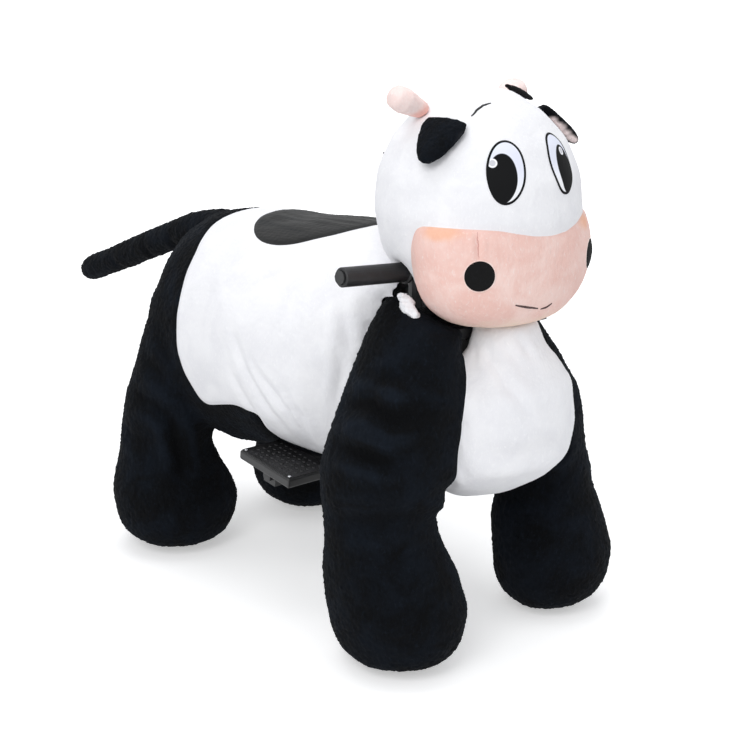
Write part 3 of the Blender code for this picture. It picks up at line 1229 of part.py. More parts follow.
def build_face(head_form):
    """Felt eyes that lie on the head, and the ears and horns sewn to its sides."""
    for side, sign in SIDES.items():
        eye = swell(f"eye_{side}", HEAD, segments=28, steps=1, grow=EYE_THICK + CLEAR)
        bm = bmesh.new()
        bmesh.ops.create_cone(bm, cap_ends=True, segments=24, radius1=1.0, radius2=1.0, depth=PAST_BODY)
        bmesh.ops.scale(bm, vec=(EYE_WIDTH / 2, EYE_HEIGHT / 2, 1.0), verts=bm.verts)
        bmesh.ops.rotate(bm, matrix=Matrix.Rotation(radians(90), 3, "X"), verts=bm.verts)
        bmesh.ops.rotate(bm, matrix=Matrix.Rotation(radians(EYE_LEAN), 3, "Y"), verts=bm.verts)
        bmesh.ops.translate(bm, vec=(EYE_MIDDLE + sign * EYE_X, -PAST_BODY / 2, EYE_Z), verts=bm.verts)
        keep_inside(eye, mesh_object(f"eye_outline_{side}", bm))
        cut(eye, grown_copy(head_form, CLEAR, f"eye_back_{side}"))
        finish_part(eye, "eye_felt", steering)

        ear = leaf(f"ear_{side}", EAR_HANG[side], sign)
        cut(ear, grown_copy(head_form, SEAM, f"ear_root_{side}"))
        finish_part(ear, "black_plush", steering)

        horn = swell(f"horn_{side}", HORN, segments=14)
        aim = Vector(HORN_FACING[side]).to_track_quat("Z", "Y").to_matrix().to_4x4()
        horn.matrix_world = Matrix.Translation(on_side(HORN_PLACE, sign)) @ aim
        cut(horn, grown_copy(head_form, SEAM, f"horn_root_{side}"))
        finish_part(horn, "cream_plush", steering)


def on_side(place, sign):
    """A place or direction on the cow's left, mirrored to its right with -1."""
    x, y, z = place
    return Vector((sign * x, y, z))


def leaf(name, hang, sign):
    """A padded ear: a flattened form, wide at its root and pointed at its tip."""
    rows = [(rise * EAR_HALF_HEIGHT, 0.0, 0.0, wide * EAR_HALF_WIDTH, thick * EAR_HALF_THICK)
            for rise, wide, thick in EAR_OUTLINE]
    obj = swell(name, rows, segments=16)
    normal = on_side(EAR_FACING, sign).normalized()
    across = normal.cross(-on_side(hang, sign)).normalized()
    upward = across.cross(normal)
    turn = Matrix((across, normal, upward)).transposed().to_4x4()
    obj.matrix_world = Matrix.Translation(on_side(EAR_PLACE, sign)) @ turn
    return obj


def build_gusset():
    """The loose skin that bridges the turning shoulders and the body: a short sleeve of plush."""
    sleeve = swell("shoulder_gusset", TORSO, along="Y", segments=28)
    keep_inside(sleeve, slab("gusset_length", GUSSET_FRONT, TORSO_FRONT - SEAM))
    cut(sleeve, swell("gusset_room", TORSO[:4], along="Y", segments=28, grow=-GUSSET_THICK,
                      stretch=5 * DRILL_PAST))
    for obj in list(PARTS.objects):
        if obj.name.startswith("front_leg_plush") or obj.name in ("head_plush", "muzzle_plush"):
            cut(sleeve, grown_copy(obj, SEAM, f"gusset_{obj.name}"))
    finish_part(sleeve, "white_plush", ride)


steering = new_pivot("steering_axis", (0, 0, WHEEL_RADIUS), ride)
wheel_pivots = {}
for which, along_y, holder in (("front", 0.0, steering), ("rear", WHEELBASE, ride)):
    for hand, way in SIDES.items():
        title = f"{which}_wheel_{hand}"
        wheel_pivots[title] = new_pivot(
            f"{title}_axis", (way * WHEEL_X[which], along_y, WHEEL_RADIUS), holder)
pedal_axis = new_pivot("accelerator_axis", PEDAL_PIVOT, ride)
door_axis = new_pivot("door_axis", (HINGE_X, HINGE_Y, BOX_MIDDLE), steering)
button_axes = {
    "start_button": new_pivot(
        "start_button_axis", (START_BUTTON_X, DOOR_FACE, BOX_MIDDLE + START_BUTTON_RISE), door_axis),
    "music_button": new_pivot(
        "music_button_axis", (START_BUTTON_X, DOOR_FACE, BOX_MIDDLE + MUSIC_BUTTON_RISE), door_axis),
    "coin_return_button": new_pivot(
        "coin_return_button_axis",
        (RETURN_BUTTON_X, SLOT_FACE_REAR, BOX_MIDDLE + COIN_SLOT_RISE), door_axis),
}
flap_axis_pivot = new_pivot(
    "coin_return_flap_axis",
    (SLOT_FACE_X, SLOT_FACE_REAR - FLAP_INSET,
     BOX_MIDDLE - CUP_DROP + CUP_HEIGHT / 2 - FLAP_ROD_RADIUS - CLEAR), door_axis)
lock_axis = new_pivot("door_lock_axis", (LOCK_X, DOOR_FACE, BOX_MIDDLE + LOCK_RISE), door_axis)

build_wheels(wheel_pivots)
build_steering()
build_chassis()
build_foot_plates(pedal_axis)
build_control_box(door_axis, button_axes, flap_axis_pivot, lock_axis)
torso_form = build_body()
chest_piece, muzzle_piece = build_head()
build_legs(torso_form, chest_piece, muzzle_piece)
build_gusset()

ride.location.y = -LENGTH_MIDDLE
bpy.context.view_layer.update()
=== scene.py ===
"""Looks of a coin-operated plush cow ride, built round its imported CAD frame.

Metres, +Z up. The cow faces -Y and its left side is +X.
"""
import math

import bmesh
import bpy
import numpy as np
from mathutils import Matrix, Vector
from mathutils.bvhtree import BVHTree


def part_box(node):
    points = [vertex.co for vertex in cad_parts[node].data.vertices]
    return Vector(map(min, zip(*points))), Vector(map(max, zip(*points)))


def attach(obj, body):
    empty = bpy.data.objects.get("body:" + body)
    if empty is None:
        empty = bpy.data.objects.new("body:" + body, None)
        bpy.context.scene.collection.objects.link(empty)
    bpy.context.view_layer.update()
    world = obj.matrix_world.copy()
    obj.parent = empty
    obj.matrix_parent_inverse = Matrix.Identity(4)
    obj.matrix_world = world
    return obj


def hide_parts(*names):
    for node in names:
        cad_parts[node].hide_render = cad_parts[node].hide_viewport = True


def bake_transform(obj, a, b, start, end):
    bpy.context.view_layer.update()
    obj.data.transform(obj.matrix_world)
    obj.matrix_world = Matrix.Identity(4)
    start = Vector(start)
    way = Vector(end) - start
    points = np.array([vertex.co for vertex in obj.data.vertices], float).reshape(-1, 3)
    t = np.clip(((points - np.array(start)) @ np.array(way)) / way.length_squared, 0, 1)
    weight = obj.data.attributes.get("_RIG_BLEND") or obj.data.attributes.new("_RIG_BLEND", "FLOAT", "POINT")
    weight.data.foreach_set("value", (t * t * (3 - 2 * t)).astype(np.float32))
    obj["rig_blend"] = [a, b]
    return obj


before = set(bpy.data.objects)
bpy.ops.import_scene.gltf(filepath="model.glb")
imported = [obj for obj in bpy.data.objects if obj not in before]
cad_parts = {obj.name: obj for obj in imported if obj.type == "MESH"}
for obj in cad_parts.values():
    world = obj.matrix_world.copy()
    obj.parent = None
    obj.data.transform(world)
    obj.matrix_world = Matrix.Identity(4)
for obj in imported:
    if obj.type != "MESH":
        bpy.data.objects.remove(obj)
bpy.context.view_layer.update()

bl_info = {
    "name": "Plush cow ride",
    "version": (1, 0, 0),
    "blender": (4, 5, 0),
    "location": "View3D > Sidebar > Cow ride",
    "description": "Sews, stuffs and dresses a coin-operated plush cow ride",
    "category": "Object",
}

MM = 0.001

# The camera that took the photograph, solved from the cow's own outline.
PHOTO_WIDTH = 730
FOCAL_PIXELS = 1674
SENSOR = 36.0
CAMERA_PLACE = Vector((-1.7813, -2.3722, 1.2))
CAMERA_TURN = math.radians(-40)
CAMERA_DIP = math.radians(16.2)

# The studio: each lamp's name, place, width and watts, where they aim, and the floor's glow.
LAMPS = (("key_left", (-2.6, -2.0, 2.6), 1.8, 50.0),
         ("top_soft", (0.2, 0.2, 3.2), 2.6, 37.0),
         ("fill_right", (2.8, -2.2, 1.6), 2.2, 10.0))
LAMP_AIM = Vector((0.0, -0.15, 0.45))
WORLD_LIGHT = 0.62
FLOOR_REACH = 60.0
GLOW_NEAR, GLOW_FAR = 1.2, 4.0
GLOW_UNDER_COW = 0.42

# Record slots of the main fabrics, and the forms waiting to be filled and cut.
BLACK = "black_plush"
WHITE = "white_plush"
PINK = "pink_plush"
HORN = "cream_plush"
SEAT = "seat_fabric"
FORMS = {}

# Settings shared by nodes: a colour mix (input 0 is the share, 6 and 7 are the colours), and a
# range with soft ends (0 is the value, 1 and 2 its limits, 3 and 4 what they turn into).
BLEND = {"data_type": "RGBA"}
SOFT = {"interpolation_type": "SMOOTHSTEP"}

# Stuffing: how the skins resist it, and how close to the frame they are held.
CLOTH = {"quality": 3, "mass": 0.25, "tension_stiffness": 12.0, "compression_stiffness": 12.0,
         "bending_stiffness": 0.4, "use_pressure": True, "vertex_group_mass": "held"}
PRESSURE = 4.0
HELD_GRAINS = 1.6
FREE_FROM, FREE_OVER = 0.004, 0.024
SEAM_ROUNDS = 10
SEAM_WIDTH = 0.0055
FOLD_UNIT = 10 * MM
SNAP = 0.3

# The pile: how long its broad lumps and its nap are, how near a seam they calm down, and how
# much shorter it is where it isn't black.
LUMPS = (0.16, 0.07)
NAP = (0.013, 0.007)
LUMP_CALM, NAP_CALM = 0.020, 0.008
SHORT_PILE = 0.3
WAD_NAP = ((0.010, 0.0012), (0.005, 0.0006))

# Where a foot plate turns, how far it is tilted, and the top of its plate above the pivot.
PLATE_PIVOT = Vector((0.0, -0.236, 0.236))
PLATE_TILT = math.radians(7.0)
PLATE_TOP = 0.0315
PLATE_MIDDLE = (0.178, -0.0155)
TREAD = (0.086, 0.131, 0.0018)
CAP_GAP = 0.0001


def linear(code):
    """Turns an sRGB hex colour into the linear values that Blender's sockets hold."""
    parts = [int(code[i:i + 2], 16) / 255 for i in (1, 3, 5)]
    return tuple(p / 12.92 if p <= 0.04045 else ((p + 0.055) / 1.055) ** 2.4 for p in parts)


def paint(code):
    """The same colour with an alpha of 1, for a shader socket."""
    return (*linear(code), 1.0)


def add(tree, kind, inputs=None, **settings):
    """Adds one shader node, sets its properties, and fills or links its inputs."""
    node = tree.nodes.new(f"ShaderNode{kind}")
    for key, value in settings.items():
        setattr(node, key, value)
    for key, value in (inputs or {}).items():
        if isinstance(value, bpy.types.NodeSocket):
            tree.links.new(value, node.inputs[key])
        else:
            node.inputs[key].default_value = value
    return node


def new_material(name):
    """A bare material, its node tree, its Principled shader and the object's own coordinates."""
    material = bpy.data.materials.new(name)
    material.use_nodes = True
    tree = material.node_tree
    tree.nodes.clear()
    shader = add(tree, "BsdfPrincipled")
    add(tree, "OutputMaterial", {"Surface": shader.outputs[0]})
    place = add(tree, "TexCoord").outputs["Object"]
    return material, tree, shader, place


def finish_shader(tree, shader, height, strength, depth, links=None, **levels):
    """Gives a shader its bump, its linked inputs and the levels that are the same all over."""
    bump = add(tree, "Bump", {"Height": height, "Strength": strength, "Distance": depth})
    tree.links.new(bump.outputs[0], shader.inputs["Normal"])
    for key, socket in (links or {}).items():
        tree.links.new(socket, shader.inputs[key])
    for key, level in levels.items():
        shader.inputs[key.replace("_", " ")].default_value = level


def plush(name, colour, shade, glint, pile=1.0, tuft=3.4, sheen=0.35, gloss=0.25, tip_glint=0.75,
          folds=0.0):
    """Short-pile polyester plush: knitted backing with a brushed pile that lies in patches.

    The patches take the light differently, and the pile's tips are painted in the glint colour as a painted
    sheen. Single hairs are too fine for the render, so tufts of about 3 mm are drawn in their place. Painted
    shade darkens the pile in a fold and a painted highlight in the glint colour lights its crest, by the
    fold value of the mesh.
    Pile depth and tuft width are in millimetres.
    """
    material, tree, shader, place = new_material(name)
    patch_width, clump_width, stretch = 70 * MM, 1.7 * tuft * MM, (1.0, 1.0, 0.45)
    patch = add(tree, "TexNoise", {"Vector": place, "Scale": 1 / patch_width,
                                   "Detail": 4.0, "Roughness": 0.6, "Distortion": 0.6})
    stroke = add(tree, "Mapping", {"Vector": place, "Scale": stretch})
    tufts = add(tree, "TexNoise", {"Vector": stroke.outputs[0],
                                   "Scale": 1 / (tuft * MM), "Detail": 3.0,
                                   "Roughness": 0.65, "Distortion": 0.8})
    clumps = add(tree, "TexVoronoi", {"Vector": stroke.outputs[0],
                                      "Scale": 1 / clump_width, "Randomness": 1.0})
    lie = add(tree, "MapRange", {0: patch.outputs[0], 1: 0.35, 2: 0.68}, **SOFT)
    tone = add(tree, "Mix", {0: lie.outputs[0], 6: shade, 7: colour}, **BLEND)
    # Painted sheen: the tufts' tips are mixed toward the glint colour, as far as tip_glint.
    tips = add(tree, "MapRange", {0: tufts.outputs[0], 1: 0.52, 2: 0.78, 4: tip_glint}, **SOFT)
    tone = add(tree, "Mix", {0: tips.outputs[0], 6: tone.outputs[2], 7: glint}, **BLEND)
    # Painted shade in fold valleys and a painted highlight on fold crests, read from the fold value; folds
    # sets the highlight's strength.
    if folds:
        pressed_shade = add(tree, "Attribute", attribute_name="fold").outputs["Fac"]
        for low, high, at_low, at_high, hue in ((0.02, 0.60, 0.0, folds, glint),
                                                (-0.90, -0.05, 1.0, 0.0, shade)):
            share = add(tree, "MapRange",
                        {0: pressed_shade, 1: low, 2: high, 3: at_low, 4: at_high}, **SOFT)
            tone = add(tree, "Mix", {0: share.outputs[0], 6: tone.outputs[2], 7: hue}, **BLEND)
    height = add(tree, "Math", {0: tufts.outputs[0], 1: clumps.outputs["Distance"]},
                 operation="ADD")
    finish_shader(tree, shader, height.outputs[0], 0.55, pile * MM,
                  {"Base Color": tone.outputs[2]}, Roughness=0.92, Specular_IOR_Level=gloss,
                  Sheen_Weight=sheen, Sheen_Roughness=0.45, Sheen_Tint=glint)
    return material


def blushed(material, spots, colour):
    """Sprays a soft blush of another colour on a plush, round the given places."""
    tree = material.node_tree
    shader = tree.nodes["Principled BSDF"]
    tone = shader.inputs["Base Color"].links[0].from_socket
    place = tree.nodes["Texture Coordinate"].outputs["Object"]
    wander = add(tree, "TexNoise", {"Vector": place, "Scale": 1 / (28 * MM), "Detail": 3.0})
    for spot, reach, strength in spots:
        away = add(tree, "VectorMath", {0: place, 1: spot}, operation="SUBTRACT")
        flat = add(tree, "VectorMath", {0: away.outputs[0], 1: reach}, operation="DIVIDE")
        far = add(tree, "VectorMath", {0: flat.outputs[0]}, operation="LENGTH")
        rough = add(tree, "Math", {0: far.outputs["Value"], 1: wander.outputs[0]}, operation="ADD")
        share = add(tree, "MapRange",
                    {0: rough.outputs[0], 1: 0.75, 2: 1.6, 3: strength, 4: 0.0}, **SOFT)
        tone = add(tree, "Mix", {0: share.outputs[0], 6: tone, 7: colour}, **BLEND).outputs[2]
    tree.links.new(tone, shader.inputs["Base Color"])


def stretch_satin():
    """Stretch satin of the seat patch: fine knitted ribs along the body, lighter streaks painted along it as
    sheen, and a broad dull shine.
    """
    material, tree, shader, place = new_material("stretch_satin_charcoal")
    rib_pitch, sheen_streak_width = 3.2 * MM, 14 * MM
    ribs = add(tree, "TexWave", {"Vector": place, "Scale": 1 / rib_pitch / math.tau,
                                 "Distortion": 1.5, "Detail": 2.0, "Detail Scale": 2.0},
               bands_direction="X")
    long = add(tree, "Mapping", {"Vector": place, "Scale": (1.0, 0.06, 1.0)})
    sheen_streak = add(tree, "TexNoise", {"Vector": long.outputs[0], "Scale": 1 / sheen_streak_width,
                                    "Detail": 4.0, "Roughness": 0.6}).outputs[0]
    # Painted sheen: the tone is lighter along the long streaks.
    lie = add(tree, "MapRange", {0: sheen_streak, 1: 0.35, 2: 0.7}, **SOFT)
    tone = add(tree, "Mix", {0: lie.outputs[0], 6: paint("#0a0b0c"), 7: paint("#1b1d1f")}, **BLEND)
    height = add(tree, "Math", {0: ribs.outputs[1], 1: 0.15, 2: sheen_streak}, operation="MULTIPLY_ADD")
    dull = add(tree, "MapRange", {0: sheen_streak, 1: 0.3, 2: 0.7, 3: 0.46, 4: 0.60}, **SOFT)
    finish_shader(tree, shader, height.outputs[0], 0.5, 1.2 * MM,
                  {"Base Color": tone.outputs[2], "Roughness": dull.outputs[0]},
                  Specular_IOR_Level=0.18)
    return material


def eye_print(name, pupil, pupil_size, highlight, shine):
    """Printed satin of an eye: black rim, lilac white, black pupil and a ringed highlight.

    The piece's own UV map gives the place in the eye, from -1 to 1 across and upwards.
    """
    material, tree, shader, place = new_material(name)
    flat = add(tree, "UVMap", uv_map="eye").outputs[0]
    centred = add(tree, "Mapping", {"Vector": flat, "Location": (-1.0, -1.0, 0.0),
                                    "Scale": (2.0, 2.0, 0.0)}).outputs[0]
    split = add(tree, "SeparateXYZ", {0: centred})
    lilac = add(tree, "MapRange", {0: split.outputs[1], 1: -0.75, 2: 0.15}, **SOFT)
    tone = add(tree, "Mix", {0: lilac.outputs[0], 6: paint("#f9fafd"),
                             7: paint("#e6e9f6")}, **BLEND)
    core = (shine[0] * 0.66, shine[1] * 0.66)
    ovals = ((pupil, pupil_size, 0.02, "#07080a"), (highlight, shine, 0.05, "#f6f6fa"),
             (highlight, core, 0.08, "#cfd0d6"), ((0.0, 0.0), (0.885, 0.925), 0.012, None))
    for centre, size, soft, code in ovals:
        away = add(tree, "VectorMath", {0: centred, 1: (*centre, 0.0)}, operation="SUBTRACT")
        scaled = add(tree, "VectorMath", {0: away.outputs[0], 1: (*size, 1.0)}, operation="DIVIDE")
        far = add(tree, "VectorMath", {0: scaled.outputs[0]}, operation="LENGTH")
        inside = add(tree, "MapRange", {0: far.outputs["Value"], 1: 1 - soft,
                                        2: 1 + soft, 3: 1.0, 4: 0.0}, **SOFT)
        outer, inner = (tone.outputs[2], paint(code)) if code else (paint("#060709"),
                                                                    tone.outputs[2])
        tone = add(tree, "Mix", {0: inside.outputs[0], 6: outer, 7: inner}, **BLEND)
    weave = add(tree, "TexNoise", {"Vector": place, "Scale": 1 / (1.2 * MM), "Detail": 2.0})
    finish_shader(tree, shader, weave.outputs[0], 0.15, 0.3 * MM, {"Base Color": tone.outputs[2]},
                  Roughness=0.75, Specular_IOR_Level=0.15)
    return material


def thread(name, code):
    """Twisted embroidery thread, slightly shiny."""
    material, tree, shader, place = new_material(name)
    twist = add(tree, "TexWave", {"Vector": place, "Scale": 1 / (2.0 * MM) / math.tau},
                bands_direction="DIAGONAL")
    finish_shader(tree, shader, twist.outputs[1], 0.4, 0.4 * MM, Base_Color=paint(code),
                  Roughness=0.55)
    return material


def powder_coat():
    """Black powder coat on welded steel: a fine orange peel, a little worn to grey."""
    material, tree, shader, place = new_material("powder_coated_steel_black")
    peel = add(tree, "TexNoise", {"Vector": place, "Scale": 1 / (1.6 * MM), "Detail": 2.0})
    wear = add(tree, "TexNoise", {"Vector": place, "Scale": 1 / (35 * MM), "Detail": 6.0,
                                  "Roughness": 0.7}).outputs[0]
    worn = add(tree, "MapRange", {0: wear, 1: 0.58, 2: 0.75}, **SOFT)
    tone = add(tree, "Mix", {0: worn.outputs[0], 6: paint("#17181a"), 7: paint("#2b2c2e")}, **BLEND)
    dull = add(tree, "MapRange", {0: wear, 1: 0.3, 2: 0.7, 3: 0.38, 4: 0.56}, **SOFT)
    finish_shader(tree, shader, peel.outputs[0], 0.3, 0.3 * MM,
                  {"Base Color": tone.outputs[2], "Roughness": dull.outputs[0]})
    return material


def bright_metal(name, light, dark, rough, grain):
    """Plated steel: metallic, with its tone and gloss changing in soft patches and fine brushing."""
    material, tree, shader, place = new_material(name)
    cloud = add(tree, "TexNoise", {"Vector": place, "Scale": 1 / (18 * MM), "Detail": 5.0,
                                   "Roughness": 0.6}).outputs[0]
    along = add(tree, "Mapping", {"Vector": place, "Scale": (1.0, 1.0, 0.08)})
    lines = add(tree, "TexNoise", {"Vector": along.outputs[0], "Scale": 1 / (0.9 * MM),
                                   "Detail": 2.0})
    patch = add(tree, "MapRange", {0: cloud, 1: 0.35, 2: 0.7}, **SOFT)
    tone = add(tree, "Mix", {0: patch.outputs[0], 6: paint(light), 7: paint(dark)}, **BLEND)
    dull = add(tree, "MapRange", {0: cloud, 1: 0.3, 2: 0.7, 3: rough, 4: rough + 0.14}, **SOFT)
    finish_shader(tree, shader, lines.outputs[0], grain, 0.2 * MM,
                  {"Base Color": tone.outputs[2], "Roughness": dull.outputs[0]}, Metallic=1.0)
    return material


def moulded(name, light, dark, rough, grit, depth, coat=0.0):
    """Moulded rubber or plastic with an even eroded grain and faint handling marks."""
    material, tree, shader, place = new_material(name)
    grain = add(tree, "TexVoronoi", {"Vector": place, "Scale": 1 / (grit * MM)},
                feature="SMOOTH_F1")
    marks = add(tree, "TexNoise", {"Vector": place, "Scale": 1 / (22 * MM), "Detail": 6.0,
                                   "Roughness": 0.65}).outputs[0]
    rubbed = add(tree, "MapRange", {0: marks, 1: 0.45, 2: 0.75}, **SOFT)
    tone = add(tree, "Mix", {0: rubbed.outputs[0], 6: paint(dark), 7: paint(light)}, **BLEND)
    dull = add(tree, "MapRange", {0: marks, 1: 0.3, 2: 0.7, 3: rough, 4: rough + 0.12}, **SOFT)
    finish_shader(tree, shader, grain.outputs["Distance"], 0.5, depth * MM,
                  {"Base Color": tone.outputs[2], "Roughness": dull.outputs[0]}, Coat_Weight=coat)
    return material


def birch_plywood():
    """Birch plywood: 1.4 mm plies that show on the edges and a long figure on the faces."""
    material, tree, shader, place = new_material("birch_plywood")
    ply_pair, figure_width = 2.8 * MM, 7 * MM
    plies = add(tree, "TexWave", {"Vector": place, "Scale": 1 / ply_pair / math.tau,
                                  "Distortion": 0.3}, bands_direction="Z")
    along = add(tree, "Mapping", {"Vector": place, "Scale": (1.0, 0.08, 1.0)})
    figure = add(tree, "TexNoise", {"Vector": along.outputs[0], "Scale": 1 / figure_width,
                                    "Detail": 5.0, "Roughness": 0.6}).outputs[0]
    tone = add(tree, "Mix", {0: figure, 6: paint("#b98c58"), 7: paint("#d9b483")}, **BLEND)
    layer = add(tree, "MapRange", {0: plies.outputs[1], 1: 0.3, 2: 0.7, 4: 0.35}, **SOFT)
    tone = add(tree, "Mix", {0: layer.outputs[0], 6: tone.outputs[2], 7: paint("#8a5f36")}, **BLEND)
    finish_shader(tree, shader, figure, 0.3, 0.3 * MM, {"Base Color": tone.outputs[2]},
                  Roughness=0.6)
    return material


def seen_ray(tree):
    """1 where a surface is seen directly, in gloss or through glass, and 0 where it only lights."""
    path = add(tree, "LightPath")
    seen = path.outputs["Is Camera Ray"]
    for ray in ("Is Glossy Ray", "Is Transmission Ray"):
        seen = add(tree, "Math", {0: seen, 1: path.outputs[ray]}, operation="MAXIMUM").outputs[0]
    return seen


def studio_floor():
    """Matt white studio floor, which glows to white away from the cow and keeps its shadow."""
    material, tree, shader, place = new_material("studio_floor_white")
    tree.nodes.remove(shader)
    grain = add(tree, "TexNoise", {"Vector": place, "Scale": 1 / (60 * MM), "Detail": 3.0})
    tone = add(tree, "Mix", {0: grain.outputs[0], 6: paint("#f1f1f1"),
                             7: paint("#f5f5f5")}, **BLEND)
    matt = add(tree, "BsdfDiffuse", {"Color": tone.outputs[2]})
    reach = add(tree, "VectorMath", {0: place}, operation="LENGTH")
    power = add(tree, "MapRange", {0: reach.outputs["Value"], 1: GLOW_NEAR, 2: GLOW_FAR,
                                   3: GLOW_UNDER_COW, 4: 1.0}, **SOFT)
    glow = add(tree, "Emission", {"Color": (1, 1, 1, 1), "Strength": power.outputs[0]})
    both = add(tree, "AddShader", {0: matt.outputs[0], 1: glow.outputs[0]})
    shown = add(tree, "MixShader", {0: seen_ray(tree), 1: matt.outputs[0], 2: both.outputs[0]})
    tree.links.new(shown.outputs[0], tree.nodes["Material Output"].inputs["Surface"])
    return material


def link(name, mesh):
    """Puts a mesh into the scene as a new object."""
    piece = bpy.data.objects.new(name, mesh)
    bpy.context.scene.collection.objects.link(piece)
    return piece


def made(name, bm):
    """Turns a bmesh into a new object."""
    mesh = bpy.data.meshes.new(name)
    bm.to_mesh(mesh)
    bm.free()
    return link(name, mesh)


def settle(piece):
    """Applies a piece's modifiers to its mesh."""
    graph = bpy.context.evaluated_depsgraph_get()
    settled = bpy.data.meshes.new_from_object(piece.evaluated_get(graph))
    piece.modifiers.clear()
    old = piece.data
    piece.data = settled
    bpy.data.meshes.remove(old)
    settled.name = piece.name


def remesh(piece, grain):
    """Meshes a piece anew with faces of one size."""
    even = piece.modifiers.new("Even", "REMESH")
    even.mode = "VOXEL"
    even.voxel_size = grain
    settle(piece)


def soften(mesh, rounds):
    """Moves each vertex of a mesh halfway to its neighbours, a number of times."""
    bm = bmesh.new()
    bm.from_mesh(mesh)
    for _ in range(rounds):
        bmesh.ops.smooth_vert(bm, verts=bm.verts, factor=0.5, use_axis_x=True, use_axis_y=True,
                              use_axis_z=True)
    bm.to_mesh(mesh)
    bm.free()


def finish_piece(piece, body, material, smooth=True):
    """Gives a piece its material and the body that it rides on."""
    piece.data.materials.clear()
    piece.data.materials.append(material)
    if smooth:
        piece.data.shade_smooth()
    if body:
        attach(piece, body)


def corners(piece):
    """The places and outward directions of a piece's vertices, as two arrays."""
    count = len(piece.data.vertices)
    places = np.empty(count * 3, np.float32)
    piece.data.vertices.foreach_get("co", places)
    outwards = np.empty(count * 3, np.float32)
    piece.data.vertex_normals.foreach_get("vector", outwards)
    return places.reshape(-1, 3).astype(float), outwards.reshape(-1, 3).astype(float)


def move_corners(piece, places):
    """Puts a piece's vertices at new places."""
    piece.data.vertices.foreach_set("co", places.astype(np.float32).ravel())
    piece.data.update()


def waves(places, length, seed, count=14):
    """A smooth random height from -1 to 1 with humps of about the given length."""
    turn = np.random.default_rng(seed)
    total = np.zeros(len(places))
    for _ in range(count):
        way = turn.normal(size=3)
        way /= np.linalg.norm(way)
        total += np.sin(places @ way * (math.tau / length) * turn.uniform(0.7, 1.4)
                        + turn.uniform(0, 6.3))
    return total / math.sqrt(count / 2) / 2


def crease(places, outwards, line, width, depth, crest=0.4):
    """The shift that presses one fold into a skin along a line, with a soft crest beside it."""
    points = np.array(line, float)
    pieces = np.linalg.norm(np.diff(points, axis=0), axis=1)
    starts = np.concatenate([[0], np.cumsum(pieces)])
    best = np.full(len(places), 1e9)
    along = np.zeros(len(places))
    for i, length in enumerate(pieces):
        step = points[i + 1] - points[i]
        share = np.clip((places - points[i]) @ step / length ** 2, 0, 1)
        far = np.linalg.norm(places - points[i] - share[:, None] * step, axis=1)
        closer = far < best
        best[closer] = far[closer]
        along[closer] = starts[i] + share[closer] * length
    fade = np.sin(np.pi * np.clip(along / starts[-1], 0.03, 0.97)) ** 0.6
    press = np.exp(-(best / width) ** 2) - crest * np.exp(-((best - 2.1 * width) / width) ** 2)
    return outwards * (-depth * press * fade)[:, None]


def tree_of(pieces):
    """A search tree over the surfaces of some pieces."""
    bm = bmesh.new()
    for piece in pieces:
        bm.from_mesh(piece.data)
    tree = BVHTree.FromBMesh(bm)
    bm.free()
    return tree


def distances(mesh, tree):
    """How far each vertex of a mesh is from a search tree's surface."""
    return np.array([tree.find_nearest(vert.co)[3] for vert in mesh.vertices])


def evened(mesh, values, rounds):
    """Evens a value out over a mesh, so that a line drawn by it runs smoothly."""
    ends = np.empty(len(mesh.edges) * 2, np.int32)
    mesh.edges.foreach_get("vertices", ends)
    ends = ends.reshape(-1, 2)
    count = len(values)
    near = np.maximum(np.bincount(ends.ravel(), minlength=count), 1)
    for _ in range(rounds):
        total = (np.bincount(ends[:, 0], values[ends[:, 1]], count)
                 + np.bincount(ends[:, 1], values[ends[:, 0]], count))
        values = 0.5 * values + 0.5 * total / near
    return values


def note(mesh, name, values):
    """Keeps a value per vertex on a mesh."""
    kept = mesh.attributes.new(name, "FLOAT", "POINT")
    kept.data.foreach_set("value", values.astype(np.float32))


def noted(mesh, name):
    """Reads back a value per vertex."""
    values = np.empty(len(mesh.vertices), np.float32)
    mesh.attributes[name].data.foreach_get("value", values)
    return values.astype(float)


def joined_form(name, covers, grain, cap, seed, folds=(), unrest=1.6, rounds=6):
    """Joins copies of CAD forms into one evenly meshed form, slightly slack before it is filled.

    covers maps each sewn cover to the nodes that it stands for, its body, its slot and its fill.
    cap is how far the filling may push it out, in metres, and unrest how lumpy it gets, in mm.
    The first covers are cut out of the form, and the last one keeps the rest. The form keeps how
    far each vertex is from a seam and from the frame, and how free it is to swell.
    """
    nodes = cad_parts
    everything = [node for cover in covers.values() for node in cover["nodes"]]
    bm = bmesh.new()
    for node in everything:
        bm.from_mesh(nodes[node].data)
    bmesh.ops.remove_doubles(bm, verts=bm.verts, dist=1e-5)
    form = made(name, bm)
    remesh(form, grain)
    order = list(covers)
    away = {cover: distances(form.data, tree_of([nodes[node] for node in covers[cover]["nodes"]]))
            for cover in order}
    for index, cover in enumerate(order[:-1]):
        rest = np.min([away[other] for other in order[index + 1:]], axis=0)
        note(form.data, f"seam_{cover}", evened(form.data, away[cover] - rest, SEAM_ROUNDS))
    gap = distances(form.data, tree_of([nodes[node] for node in nodes if node not in everything]))
    note(form.data, "gap", gap)
    free = np.clip((gap - FREE_FROM) / FREE_OVER, 0, 1)
    note(form.data, "free", evened(form.data, free, 4))
    soften(form.data, rounds)
    FORMS[name] = dict(covers=covers, cap=cap, seed=seed, folds=folds, unrest=unrest, grain=grain)


